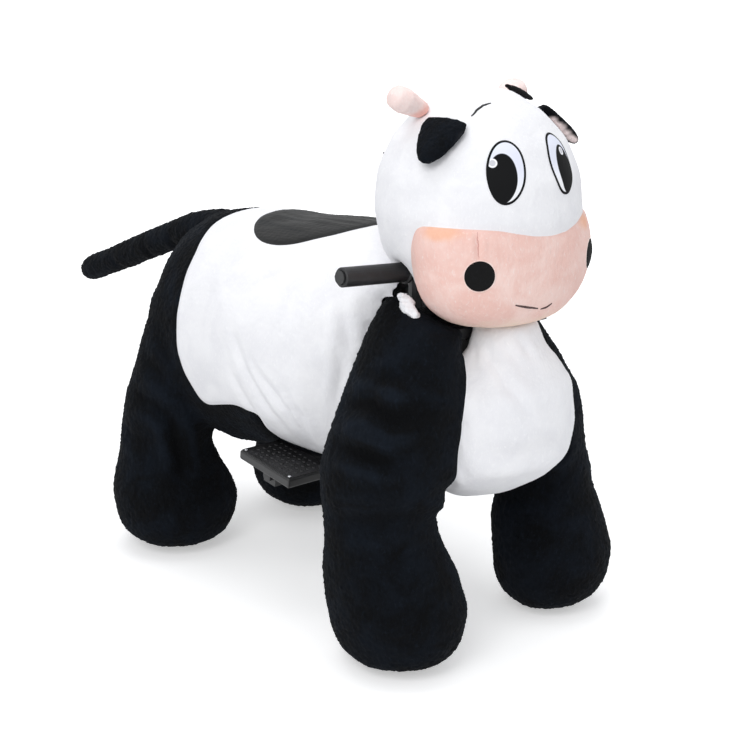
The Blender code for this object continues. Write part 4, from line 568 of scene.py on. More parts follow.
def fill_forms(steps):
    """Blows up all the forms together with cloth simulation, then keeps the result."""
    scene = bpy.context.scene
    starts = {}
    for name, facts in FORMS.items():
        form = bpy.data.objects[name]
        held = np.flatnonzero(noted(form.data, "gap") < HELD_GRAINS * facts["grain"])
        form.vertex_groups.new(name="held").add([int(i) for i in held], 1.0, "REPLACE")
        starts[name] = corners(form)[0]
        cloth = form.modifiers.new("Filling", "CLOTH")
        for key, value in CLOTH.items():
            setattr(cloth.settings, key, value)
        cloth.settings.uniform_pressure_force = PRESSURE
        cloth.settings.effector_weights.gravity = 0.0
        cloth.collision_settings.use_collision = False
        cloth.point_cache.frame_start = 1
        cloth.point_cache.frame_end = steps
    for step in range(1, steps + 1):
        scene.frame_set(step)
    graph = bpy.context.evaluated_depsgraph_get()
    for name, facts in FORMS.items():
        form = bpy.data.objects[name]
        swollen = form.evaluated_get(graph).to_mesh()
        places = np.empty(len(swollen.vertices) * 3, np.float32)
        swollen.vertices.foreach_get("co", places)
        form.evaluated_get(graph).to_mesh_clear()
        shift = places.reshape(-1, 3).astype(float) - starts[name]
        size = np.linalg.norm(shift, axis=1)
        shift *= np.minimum(1, facts["cap"] / np.maximum(size, 1e-9))[:, None]
        facts["swollen"] = starts[name] + np.nan_to_num(shift)
    for name, facts in FORMS.items():
        form = bpy.data.objects[name]
        form.modifiers.clear()
        form.vertex_groups.clear()
        move_corners(form, facts["swollen"])
    scene.frame_set(1)


def roughen_form(name, facts, sizes):
    """Divides a form once, presses its seams and folds, and roughens its pile."""
    form = bpy.data.objects[name]
    fine = form.modifiers.new("Fine", "SUBSURF")
    fine.levels = 1
    fine.render_levels = 1
    settle(form)
    places, outwards = corners(form)
    seed = facts["seed"]
    free = np.clip(noted(form.data, "free"), 0, 1)
    lumps = waves(places, LUMPS[0], seed) + 0.5 * waves(places, LUMPS[1], seed + 1)
    lumps = lumps * facts["unrest"] * MM
    pile = np.full(len(places), sizes.nap if facts["grain"] > 0.004 else 0.5 * sizes.nap)
    seams = [noted(form.data, f"seam_{cover}") for cover in list(facts["covers"])[:-1]]
    calm = free.copy()
    for seam in seams:
        calm *= np.clip(np.abs(seam) / LUMP_CALM, 0.25, 1)
    inside = np.ones(len(places), bool)
    for index, (cover, of) in enumerate(facts["covers"].items()):
        mine = inside & (seams[index] < 0) if index < len(seams) else inside
        if of["slot"] != BLACK:
            pile[mine] *= SHORT_PILE
        inside &= ~mine
    for seam in seams:
        pile *= np.clip(np.abs(seam) / NAP_CALM, 0.15, 1)
    pile *= np.clip(free * 3, 0.3, 1)
    height = lumps * calm
    for seam in seams:
        height -= sizes.seam_depth * np.exp(-(seam / SEAM_WIDTH) ** 2)
    moved = places + outwards * height[:, None]
    # The fold depth noted here drives the painted shade and painted highlight of the black plush's folds.
    pressed_shade = np.zeros(len(places))
    for line, width, depth in facts["folds"]:
        shift = crease(places, outwards, line, width, depth) * (0.3 + 0.7 * free)[:, None]
        moved += shift
        pressed_shade += np.einsum("ij,ij->i", shift, outwards)
    note(form.data, "fold", pressed_shade / FOLD_UNIT)
    nap = 0.5 * waves(places, NAP[0], seed + 2, 20) + 0.5 * waves(places, NAP[1], seed + 3, 20)
    tips = np.random.default_rng(seed + 4).normal(0, 0.45, len(places))
    moved += outwards * ((nap + tips) * pile)[:, None]
    move_corners(form, moved)


def divided(bm, layer):
    """Cuts a mesh along the line where a noted value is zero: the side below it, and the rest.

    Vertices close to the line move onto it, so that the cut leaves no slivers, and the line is
    evened out before the sides part.
    """
    for edge in bm.edges:
        a, b = edge.verts
        if a[layer] * b[layer] < 0:
            share = a[layer] / (a[layer] - b[layer])
            if share < SNAP:
                a.co = a.co.lerp(b.co, share)
                a[layer] = 0.0
            elif share > 1 - SNAP:
                b.co = b.co.lerp(a.co, 1 - share)
                b[layer] = 0.0
    for edge in [e for e in bm.edges if e.verts[0][layer] * e.verts[1][layer] < 0]:
        a, b = edge.verts
        _, middle = bmesh.utils.edge_split(edge, a, a[layer] / (a[layer] - b[layer]))
        middle[layer] = 0.0
    for face in list(bm.faces):
        values = [vert[layer] for vert in face.verts]
        if min(values) < 0 < max(values):
            ends = [vert for vert in face.verts if vert[layer] == 0.0]
            if len(ends) >= 2:
                bmesh.utils.face_split(face, ends[0], ends[-1])
    below = {face for face in bm.faces if sum(vert[layer] for vert in face.verts) < 0}
    border = [edge for edge in bm.edges if len(edge.link_faces) == 2
              and (edge.link_faces[0] in below) != (edge.link_faces[1] in below)]
    beside = {}
    for edge in border:
        for vert in edge.verts:
            beside.setdefault(vert, []).append(edge.other_vert(vert))
    for _ in range(4):
        evened_places = {vert: vert.co.lerp((two[0].co + two[1].co) / 2, 0.5)
                         for vert, two in beside.items() if len(two) == 2}
        for vert, place in evened_places.items():
            vert.co = place
    bm.faces.index_update()
    outside = [face.index for face in bm.faces if face not in below]
    inner = bm.copy()
    inner.faces.ensure_lookup_table()
    bmesh.ops.delete(inner, geom=[inner.faces[i] for i in outside], context="FACES")
    bmesh.ops.delete(bm, geom=list(below), context="FACES")
    return inner, bm


def close_skin(bm):
    """Closes a cut skin behind its seams, with a crisp edge along them."""
    borders = [edge for edge in bm.edges if edge.is_boundary]
    for edge in borders:
        edge.smooth = False
    filled = bmesh.ops.holes_fill(bm, edges=borders, sides=0)["faces"]
    bmesh.ops.triangulate(bm, faces=filled)


def cut_covers(name, facts):
    """Cuts a finished form into its sewn covers."""
    form = bpy.data.objects[name]
    bm = bmesh.new()
    bm.from_mesh(form.data)
    order = list(facts["covers"])
    for cover in order:
        of = facts["covers"][cover]
        if cover == order[-1]:
            part = bm
        else:
            part, bm = divided(bm, bm.verts.layers.float[f"seam_{cover}"])
        for half, (title, nodes) in enumerate(of.get("halves", {cover: of["nodes"]}).items()):
            one = part.copy()
            if "halves" in of:
                wrong = [face for face in one.faces if (face.calc_center_median().x < 0) == bool(half)]
                bmesh.ops.delete(one, geom=wrong, context="FACES")
            close_skin(one)
            skin = made(title, one)
            notes = skin.data.attributes
            for extra in [item.name for item in notes
                          if item.name in ("gap", "free") or item.name.startswith("seam_")]:
                notes.remove(notes[extra])
            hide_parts(*nodes)
        part.free()
    bpy.data.objects.remove(form)


def mirrored(folds):
    """The same folds on both sides of the cow."""
    other = [([(-x, y, z) for x, y, z in line], width, depth) for line, width, depth in folds]
    return list(folds) + other


def sewn_line(name, points, radius, tree, sink, material):
    """A line of thread that lies on the head, thinner towards its ends and sunk a little."""
    curve = bpy.data.curves.new(name, "CURVE")
    curve.dimensions = "3D"
    curve.bevel_depth = radius
    curve.bevel_resolution = 2
    curve.use_fill_caps = True
    spline = curve.splines.new("POLY")
    count = 24
    spots = [Vector(p) for p in points]
    lengths = [0.0]
    for before, after in zip(spots, spots[1:]):
        lengths.append(lengths[-1] + (after - before).length)
    spline.points.add(count - 1)
    for i in range(count):
        far = lengths[-1] * i / (count - 1)
        at = max(k for k in range(len(spots) - 1) if lengths[k] <= far + 1e-9)
        share = (far - lengths[at]) / (lengths[at + 1] - lengths[at])
        spot, outward, _, _ = tree.find_nearest(spots[at].lerp(spots[at + 1], share))
        spline.points[i].co = (*(spot - outward * sink), 1.0)
        spline.points[i].radius = 0.55 + 0.45 * math.sin(math.pi * (i + 0.5) / count)
    drawn = bpy.data.objects.new(name + "_line", curve)
    bpy.context.scene.collection.objects.link(drawn)
    graph = bpy.context.evaluated_depsgraph_get()
    piece = link(name, bpy.data.meshes.new_from_object(drawn.evaluated_get(graph)))
    bpy.data.objects.remove(drawn)
    finish_piece(piece, "steering_column", material)


def disc_patch(name, centre, outward, up, half_size, tree, proud, dome, thick, rings=20):
    """An oval patch that follows a surface, with a UV map that runs across it.

    A square grid is drawn out to a disc and dropped on the surface against the outward direction.
    """
    outward = Vector(outward).normalized()
    up = (Vector(up) - outward * Vector(up).dot(outward)).normalized()
    across = up.cross(outward)
    reach = 0.05
    bm = bmesh.new()
    bmesh.ops.create_grid(bm, x_segments=2 * rings, y_segments=2 * rings, size=1.0)
    flat = bm.loops.layers.uv.new("eye")
    spots = {}
    for vert in bm.verts:
        x, y = vert.co.x, vert.co.y
        u, v = x * math.sqrt(1 - y * y / 2), y * math.sqrt(1 - x * x / 2)
        spots[vert] = (u, v)
    for face in bm.faces:
        for loop in face.loops:
            u, v = spots[loop.vert]
            loop[flat].uv = (u / 2 + 0.5, v / 2 + 0.5)
    for vert, (u, v) in spots.items():
        start = Vector(centre) + across * (u * half_size[0]) + up * (v * half_size[1])
        start += outward * reach
        hit, _, _, _ = tree.ray_cast(start, -outward)
        if hit is None:
            raise RuntimeError(f"{name} misses the surface that carries it")
        rise = proud + dome * (1 - min(1.0, u * u + v * v))
        vert.co = hit + outward * rise
    bm.normal_update()
    if sum(face.normal.dot(outward) for face in bm.faces) < 0:
        bmesh.ops.reverse_faces(bm, faces=bm.faces)
    piece = made(name, bm)
    wall = piece.modifiers.new("Thick", "SOLIDIFY")
    wall.thickness = thick
    wall.offset = -1.0
    settle(piece)
    return piece


def tread_mat(name, sign):
    """A moulded rubber tread with a raised rim and round studs, laid on a foot plate."""
    thick = TREAD[2]
    columns, rows, pitch = 6, 9, (0.0125, 0.0130)
    bm = bmesh.new()
    bmesh.ops.create_cube(bm, size=1.0)
    bmesh.ops.scale(bm, vec=TREAD, verts=bm.verts)
    bm.normal_update()
    top = [face for face in bm.faces if face.normal.z > 0.9]
    bmesh.ops.inset_region(bm, faces=top, thickness=0.0045, depth=-0.0008)
    bmesh.ops.bevel(bm, geom=bm.edges[:], offset=0.0004, segments=2, profile=0.5,
                    affect="EDGES", material=-1)
    for column in range(columns):
        for row in range(rows):
            spot = Matrix.Translation(((column - (columns - 1) / 2) * pitch[0],
                                       (row - (rows - 1) / 2) * pitch[1], thick / 3))
            bmesh.ops.create_cone(bm, cap_ends=True, segments=10, radius1=0.0034, radius2=0.0022,
                                  depth=0.0012, matrix=spot)
    bmesh.ops.transform(bm, matrix=plate_place(sign, 0.0, 0.0, thick / 2), verts=bm.verts)
    return made(name, bm)


def plate_place(sign, across, along, rise):
    """The matrix of a spot on a foot plate: out from its middle, back from it, above its face."""
    spot = Vector((sign * (PLATE_MIDDLE[0] + across), PLATE_MIDDLE[1] + along, PLATE_TOP + rise))
    return (Matrix.Translation(PLATE_PIVOT) @ Matrix.Rotation(PLATE_TILT, 4, "X")
            @ Matrix.Translation(spot))


def screw_heads(name, places, radius):
    """Low domed screw heads, each with a cross recess."""
    foot, slot = -0.1 * radius, 0.16 * radius
    bm = bmesh.new()
    for place in places:
        head = bmesh.ops.create_uvsphere(bm, u_segments=20, v_segments=10, radius=radius)["verts"]
        bmesh.ops.scale(bm, vec=(1.0, 1.0, 0.45), verts=head)
        for vert in head:
            vert.co.z = max(vert.co.z, foot)
            across, along = abs(vert.co.x), abs(vert.co.y)
            if vert.co.z > 0.25 * radius and min(across, along) < slot:
                vert.co.z -= slot
        bmesh.ops.transform(bm, matrix=place, verts=head)
    return made(name, bm)


def hub_cap(wheel):
    """A dished steel cap on a wheel's outer face, turned in one piece."""
    low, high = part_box(wheel)
    sign = 1 if high[0] > 0 else -1
    face = high[0] if sign > 0 else low[0]
    middle = (face + sign * CAP_GAP, (low[1] + high[1]) / 2, (low[2] + high[2]) / 2)
    bm = bmesh.new()
    profile = ((0.0125, 0.0), (0.0280, 0.0), (0.0280, 0.0016), (0.0262, 0.0026), (0.0190, 0.0020),
               (0.0150, 0.0034), (0.0125, 0.0034))
    verts = [bm.verts.new((out, 0.0, radius)) for radius, out in profile]
    edges = [bm.edges.new((verts[i], verts[(i + 1) % len(verts)])) for i in range(len(verts))]
    bmesh.ops.spin(bm, geom=verts + edges, cent=(0, 0, 0), axis=(1, 0, 0), angle=math.tau,
                   steps=48, use_merge=True)
    bmesh.ops.remove_doubles(bm, verts=bm.verts, dist=1e-6)
    if sign < 0:
        bmesh.ops.scale(bm, vec=(-1, 1, 1), verts=bm.verts)
    bmesh.ops.translate(bm, vec=middle, verts=bm.verts)
    bmesh.ops.recalc_face_normals(bm, faces=bm.faces)
    return made(f"{wheel}_cap", bm)


def wad(name, lumps, grain, seed, tufted=1.0):
    """A soft wad of pile or filling: round lumps grown together, more or less tufted."""
    bm = bmesh.new()
    for spot, radius in lumps:
        bmesh.ops.create_icosphere(bm, subdivisions=3, radius=radius,
                                   matrix=Matrix.Translation(spot))
    piece = made(name, bm)
    remesh(piece, grain)
    soften(piece.data, 3)
    places, outwards = corners(piece)
    nap = sum(waves(places, length, seed + i, 18) * height
              for i, (length, height) in enumerate(WAD_NAP))
    move_corners(piece, places + outwards * (nap * tufted)[:, None])
    return piece


def dress(material, *nodes):
    """Gives CAD nodes their finished material."""
    for node in nodes:
        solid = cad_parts[node]
        solid.data.materials.clear()
        solid.data.materials.append(material)


def colour_property(name, description, code):
    """A colour that a user may change."""
    return bpy.props.FloatVectorProperty(name=name, description=description, subtype="COLOR",
                                         size=3, min=0.0, max=1.0, default=linear(code))


def size_property(name, description, default):
    """A length that a user may change."""
    return bpy.props.FloatProperty(name=name, description=description, subtype="DISTANCE",
                                   unit="LENGTH", default=default)


class CowColours(bpy.types.PropertyGroup):
    """Main colours of the cow's fabrics."""

    black: colour_property("Black plush", "Pile of the legs, rump, ears and tail", "#0b1017")
    white: colour_property("White plush", "Pile of the body, chest and head", "#f6f6f8")
    pink: colour_property("Pink plush", "Pile of the muzzle", "#f8d9d0")
    cream: colour_property("Horn plush", "Pile of the horns", "#f9e8e4")


class CowSizes(bpy.types.PropertyGroup):
    """Sizes of what is sewn on the cow."""

    body_grain: size_property("Body mesh", "Face size of the body's form before filling", 0.0068)
    head_grain: size_property("Head mesh", "Face size of the head's form before filling", 0.0060)
    nap: size_property("Nap", "How uneven the black pile is", 0.0011)
    seam_depth: size_property("Seam depth", "How far a seam pulls the covers in", 0.0022)
    eye_half_width: size_property("Eye half width", "Half the width of an eye", 0.0300)
    eye_half_height: size_property("Eye half height", "Half the height of an eye", 0.0485)
    nostril: size_property("Nostril radius", "Radius of the black nostril patch", 0.0228)
    stitch: size_property("Stitch radius", "Radius of the embroidered lines", 0.0016)
    fill_steps: bpy.props.IntProperty(name="Filling steps", default=14, min=1, max=60,
                                      description="Frames of cloth simulation that fill the skins")


# Soft blushes on the fabrics: place, reach and strength of each, and their colour.
BLUSHES = (
    (HORN, [((-0.096, -0.500, 0.862), (0.026, 0.026, 0.020), 0.8),
            ((0.100, -0.495, 0.870), (0.020, 0.020, 0.016), 0.5)], "#efa999"),
    (PINK, [((-0.152, -0.600, 0.702), (0.050, 0.050, 0.016), 0.6),
            ((0.098, -0.657, 0.698), (0.030, 0.030, 0.018), 0.6)], "#f3b084"),
    (PINK, [((0.0, -0.60, 0.545), (0.25, 0.16, 0.030), 0.6)], "#f0dcc4"),
)
EAR_LININGS = {
    "right": ([((-0.092, -0.600, 0.824), (0.030, 0.030, 0.024), 0.75)], "#4a4a4e"),
    "left": ([(spot, (0.011, 0.014, 0.009), 1.0) for spot in (
        (0.101, -0.577, 0.842), (0.107, -0.581, 0.835), (0.113, -0.584, 0.829),
        (0.121, -0.588, 0.821), (0.129, -0.590, 0.813), (0.136, -0.593, 0.808))], "#f3e2df"),
}
# Eyes: where each is sewn and which way it faces, then its print, in shares of its half size.
EYES = {
    "right": dict(centre=(-0.0685, -0.6506, 0.7897), outward=(-0.40, -0.82, 0.36),
                  up=(0.116, 0.0, 1.0), breadth=1.0, pupil=(-0.21, -0.217),
                  pupil_size=(0.76, 0.77), highlight=(-0.70, 0.24), shine=(0.235, 0.145)),
    "left": dict(centre=(0.0305, -0.6620, 0.7945), outward=(0.10, -0.90, 0.40),
                 up=(0.090, 0.0, 1.0), breadth=0.87, pupil=(0.25, -0.20),
                 pupil_size=(0.68, 0.77), highlight=(0.30, 0.36), shine=(0.20, 0.135)),
}
NOSTRILS = {"right": ((-0.119, -0.652, 0.6415), (-0.55, -0.80, 0.05)),
            "left": ((0.1150, -0.6520, 0.6430), (0.58, -0.80, 0.05))}
STITCHES = {
    "brow_stitch": [(-0.073, -0.580, 0.866), (-0.060, -0.577, 0.873), (-0.047, -0.577, 0.879),
                    (-0.034, -0.581, 0.882)],
    "mouth_stitch": [(-0.063, -0.671, 0.593), (-0.043, -0.674, 0.587), (-0.018, -0.674, 0.581)],
    "mouth_stitch_end": [(-0.012, -0.674, 0.579), (-0.001, -0.675, 0.580),
                         (0.010, -0.673, 0.586)],
    "nose_seam": [(-0.112, -0.638, 0.707), (-0.119, -0.646, 0.695), (-0.121, -0.652, 0.667)],
}

# Folds pressed into the skins: the points of each line, its width and its depth.
TORSO_FOLDS = mirrored([
    ([(-0.214, -0.160, 0.476), (-0.218, -0.186, 0.439), (-0.216, -0.210, 0.405),
      (-0.210, -0.229, 0.373), (-0.194, -0.254, 0.337), (-0.168, -0.264, 0.299)], 0.009, 0.0042),
    ([(-0.217, -0.205, 0.447), (-0.217, -0.232, 0.419), (-0.209, -0.262, 0.390),
      (-0.197, -0.287, 0.363), (-0.180, -0.291, 0.326), (-0.150, -0.282, 0.290)], 0.008, 0.0040),
    ([(-0.205, -0.291, 0.396), (-0.191, -0.311, 0.355), (-0.149, -0.297, 0.286)], 0.008, 0.0036),
    ([(-0.218, -0.156, 0.406), (-0.209, -0.178, 0.366), (-0.189, -0.198, 0.322),
      (-0.177, -0.217, 0.304)], 0.009, 0.0036),
    ([(-0.138, -0.355, 0.565), (-0.153, -0.382, 0.511), (-0.155, -0.397, 0.465)], 0.010, 0.0040),
    ([(-0.167, -0.374, 0.491), (-0.163, -0.388, 0.448), (-0.170, -0.377, 0.388)], 0.009, 0.0036),
])
CHEST_FOLDS = [
    ([(-0.059, -0.593, 0.526), (-0.061, -0.623, 0.497), (-0.058, -0.654, 0.464),
      (-0.040, -0.675, 0.430), (-0.032, -0.678, 0.413)], 0.009, 0.0042),
    ([(-0.020, -0.634, 0.536), (-0.012, -0.643, 0.517), (-0.004, -0.653, 0.497)], 0.007, 0.0030),
    ([(-0.063, -0.581, 0.520), (-0.077, -0.604, 0.492)], 0.008, 0.0028),
    ([(-0.119, -0.627, 0.379), (-0.078, -0.661, 0.359), (-0.013, -0.678, 0.353),
      (0.046, -0.674, 0.359)], 0.016, 0.0030),
    ([(0.060, -0.600, 0.520), (0.075, -0.620, 0.490), (0.080, -0.640, 0.460)], 0.010, 0.0035),
]
FRONT_LEG_FOLDS = [
    ([(-0.247, -0.497, 0.433), (-0.246, -0.554, 0.447), (-0.232, -0.594, 0.430),
      (-0.202, -0.617, 0.437)], 0.014, 0.0130),
    ([(-0.271, -0.507, 0.377), (-0.268, -0.563, 0.375), (-0.248, -0.597, 0.368),
      (-0.235, -0.610, 0.372)], 0.012, 0.0125),
    ([(-0.232, -0.543, 0.476), (-0.215, -0.575, 0.488), (-0.202, -0.594, 0.486)], 0.013, 0.0050),
    ([(-0.280, -0.494, 0.266), (-0.280, -0.548, 0.270), (-0.253, -0.591, 0.274),
      (-0.216, -0.613, 0.277), (-0.170, -0.612, 0.276)], 0.017, 0.0060),
    ([(-0.168, -0.622, 0.316), (-0.140, -0.605, 0.300), (-0.110, -0.570, 0.290)], 0.012, 0.0070),
    ([(-0.262, -0.440, 0.345), (-0.240, -0.425, 0.330), (-0.200, -0.420, 0.325)], 0.013, 0.0050),
]
REAR_LEG_FOLDS = [
    ([(-0.247, 0.101, 0.307), (-0.234, 0.056, 0.296), (-0.215, 0.038, 0.269)], 0.013, 0.0065),
    ([(-0.216, 0.037, 0.278), (-0.202, 0.039, 0.228), (-0.192, 0.037, 0.183),
      (-0.204, 0.028, 0.154)], 0.013, 0.0120),
    ([(-0.226, 0.104, 0.382), (-0.232, 0.054, 0.361), (-0.222, 0.031, 0.346)], 0.012, 0.0060),
    ([(-0.262, 0.150, 0.235), (-0.262, 0.100, 0.225), (-0.240, 0.050, 0.232)], 0.016, 0.0055),
    ([(-0.205, 0.195, 0.300), (-0.160, 0.205, 0.290), (-0.110, 0.195, 0.295)], 0.014, 0.0050),
]
RUMP_FOLDS = mirrored([
    ([(-0.150, 0.180, 0.500), (-0.170, 0.150, 0.440), (-0.165, 0.140, 0.390)], 0.015, 0.0040),
    ([(-0.060, 0.222, 0.470), (-0.090, 0.220, 0.400), (-0.080, 0.212, 0.340)], 0.014, 0.0040),
])
SEAT_FOLDS = [
    ([(-0.075, -0.235, 0.648), (-0.072, -0.150, 0.645), (-0.050, -0.060, 0.632)], 0.006, 0.0030),
    ([(-0.030, -0.260, 0.651), (-0.035, -0.160, 0.650), (-0.020, -0.050, 0.636)], 0.006, 0.0026),
    ([(0.020, -0.270, 0.652), (0.010, -0.180, 0.651), (0.018, -0.070, 0.638)], 0.006, 0.0024),
    ([(0.065, -0.240, 0.648), (0.060, -0.160, 0.646), (0.042, -0.080, 0.635)], 0.006, 0.0028),
]
TAIL_FOLDS = [
    ([(-0.027, 0.540, 0.459), (-0.022, 0.511, 0.442), (0.010, 0.512, 0.436)], 0.009, 0.0025),
    ([(-0.027, 0.404, 0.513), (-0.023, 0.394, 0.488), (0.010, 0.396, 0.482)], 0.009, 0.0030),
    ([(-0.020, 0.300, 0.548), (-0.026, 0.310, 0.525), (0.0, 0.300, 0.510)], 0.010, 0.0030),
]
NOSE_FOLDS = [
    ([(-0.112, -0.637, 0.707), (-0.119, -0.646, 0.693), (-0.121, -0.652, 0.666)], 0.004, 0.0030),
]


class COW_OT_stage(bpy.types.Operator):
    """Lays the floor and sets the studio light and the camera at the photograph's angle"""

    bl_idname = "cow.stage"
    bl_label = "Studio stage"

    def execute(self, context):
        scene = context.scene
        scene.view_settings.view_transform = "Standard"
        bm = bmesh.new()
        bmesh.ops.create_grid(bm, x_segments=1, y_segments=1, size=FLOOR_REACH)
        floor = made("studio_floor", bm)
        floor.data.materials.append(studio_floor())
        world = bpy.data.worlds.new("studio")
        world.use_nodes = True
        tree = world.node_tree
        tree.nodes.clear()
        soft = add(tree, "Background", {"Color": paint("#f4f6fa"), "Strength": WORLD_LIGHT})
        white = add(tree, "Background", {"Color": (1, 1, 1, 1), "Strength": 1.0})
        both = add(tree, "MixShader", {0: seen_ray(tree), 1: soft.outputs[0], 2: white.outputs[0]})
        add(tree, "OutputWorld", {"Surface": both.outputs[0]})
        scene.world = world
        for name, place, size, power in LAMPS:
            lamp = bpy.data.lights.new(name, "AREA")
            lamp.size = size
            lamp.energy = power
            holder = bpy.data.objects.new(name, lamp)
            scene.collection.objects.link(holder)
            turn = (LAMP_AIM - Vector(place)).to_track_quat("-Z", "Y").to_matrix().to_4x4()
            holder.matrix_world = Matrix.Translation(place) @ turn
        back = Vector((math.sin(CAMERA_TURN) * math.cos(CAMERA_DIP),
                       -math.cos(CAMERA_TURN) * math.cos(CAMERA_DIP), math.sin(CAMERA_DIP)))
        right = Vector((math.cos(CAMERA_TURN), math.sin(CAMERA_TURN), 0.0))
        up = back.cross(right)
        lens = bpy.data.cameras.new("camera")
        lens.sensor_width = SENSOR
        lens.lens = FOCAL_PIXELS * SENSOR / PHOTO_WIDTH
        camera = bpy.data.objects.new("camera", lens)
        scene.collection.objects.link(camera)
        turn = Matrix((right, up, back)).transposed().to_4x4()
        camera.matrix_world = Matrix.Translation(CAMERA_PLACE) @ turn
        scene.camera = camera
        return {"FINISHED"}


class COW_OT_body_skins(bpy.types.Operator):
    """Joins the body's forms and the shoulders' forms, ready to be filled and cut into covers"""

    bl_idname = "cow.body_skins"
    bl_label = "Body and legs"

    def execute(self, context):
        grain = context.scene.cow_sizes.body_grain
        joined_form("body_form", {
            "seat_patch": dict(nodes=["seat_pad"], body="chassis", slot=SEAT, fill=0.5),
            "torso_cover": dict(nodes=["torso_plush", "shoulder_gusset"], body=None, slot=WHITE,
                                fill=0.7),
            "hindquarters_cover": dict(nodes=["rump_plush", "rear_leg_plush_right",
                                              "rear_leg_plush_left", "tail_plush"],
                                       body="chassis", slot=BLACK, fill=0.7),
        }, grain, cap=0.006, seed=11,
            folds=TORSO_FOLDS + RUMP_FOLDS + SEAT_FOLDS + TAIL_FOLDS + mirrored(REAR_LEG_FOLDS))
        joined_form("fore_form", {
            "chest_cover": dict(nodes=["chest_plush"], body="steering_column", slot=WHITE, fill=0.7),
            "front_leg_covers": dict(
                nodes=["front_leg_plush_right", "front_leg_plush_left"], body="steering_column",
                slot=BLACK, fill=0.7,
                halves={"front_leg_cover_right": ["front_leg_plush_right"],
                        "front_leg_cover_left": ["front_leg_plush_left"]}),
        }, grain, cap=0.006, seed=31, folds=CHEST_FOLDS + mirrored(FRONT_LEG_FOLDS))
        return {"FINISHED"}


class COW_OT_head_skins(bpy.types.Operator):
    """Joins the head's forms, the ears and the horns, ready to be filled and cut into covers"""

    bl_idname = "cow.head_skins"
    bl_label = "Head"

    def execute(self, context):
        grain = context.scene.cow_sizes.head_grain
        column = "steering_column"
        joined_form("head_form", {
            "muzzle_cover": dict(nodes=["muzzle_plush"], body=column, slot=PINK, fill=0.9),
            "head_cover": dict(nodes=["head_plush"], body=column, slot=WHITE, fill=0.9),
        }, grain, cap=0.004, seed=71, folds=NOSE_FOLDS, unrest=0.9)
        for kind, side, slot, fill, seed in (
                ("ear", "right", BLACK, 0.5, 83), ("horn", "right", HORN, 0.8, 86),
                ("ear", "left", BLACK, 0.5, 89), ("horn", "left", HORN, 0.8, 92)):
            joined_form(f"{kind}_{side}_form", {
                f"{kind}_cover_{side}": dict(nodes=[f"{kind}_{side}"], body=column, slot=slot,
                                             fill=fill),
            }, 0.5 * grain, cap=0.002, seed=seed, unrest=0.8, rounds=3)
        return {"FINISHED"}


class COW_OT_filling(bpy.types.Operator):
    """Fills the sewn forms with cloth simulation, cuts their covers and gives them their fabrics"""

    bl_idname = "cow.filling"
    bl_label = "Filling and fabrics"

    def execute(self, context):
        sizes, colours = context.scene.cow_sizes, context.scene.cow_colours
        fill_forms(sizes.fill_steps)
        for name, facts in FORMS.items():
            roughen_form(name, facts, sizes)
            cut_covers(name, facts)
        # pressed_shade is the black plush's painted shade in folds and the darker tone of its patches; each
        # plush's third colour is its painted highlight on tuft tips and fold crests.
        black, pressed_shade = (*colours.black, 1), paint("#030406")
        fabrics = {
            BLACK: plush("minky_plush_black", black, pressed_shade, paint("#1e2631"), pile=1.8, tuft=4.2,
                         sheen=0.03, gloss=0.12, tip_glint=0.35, folds=0.3),
            WHITE: plush("minky_plush_white", (*colours.white, 1), paint("#efeff2"),
                         paint("#fdfdfe"), pile=0.5, tuft=3.0, sheen=0.15),
            HORN: plush("minky_plush_horn", (*colours.cream, 1), paint("#f3d8d2"),
                        paint("#fdf4f2"), pile=0.8, tuft=2.8, sheen=0.15),
            PINK: plush("minky_plush_pink", (*colours.pink, 1), paint("#f0c6bb"),
                        paint("#fbe9e4"), pile=1.2, tuft=3.4, sheen=0.15),
            SEAT: stretch_satin(),
        }
        ears = {side: plush(f"minky_plush_ear_{side}", black, pressed_shade, paint("#141b26"), pile=1.6,
                            tuft=3.6, sheen=0.03, gloss=0.12) for side in ("right", "left")}
        for fabric, spots, code in BLUSHES:
            blushed(fabrics[fabric], spots, paint(code))
        for side, (spots, code) in EAR_LININGS.items():
            blushed(ears[side], spots, paint(code))
        for facts in FORMS.values():
            for cover, of in facts["covers"].items():
                for title in of.get("halves", {cover: None}):
                    finish_piece(bpy.data.objects[title], of["body"], fabrics[of["slot"]])
        for side, fabric in ears.items():
            bpy.data.objects[f"ear_cover_{side}"].data.materials[0] = fabric
        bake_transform(bpy.data.objects["torso_cover"], "chassis", "steering_column",
                 start=(0, -0.3213, 0.45), end=(0, -0.425, 0.45))
        return {"FINISHED"}


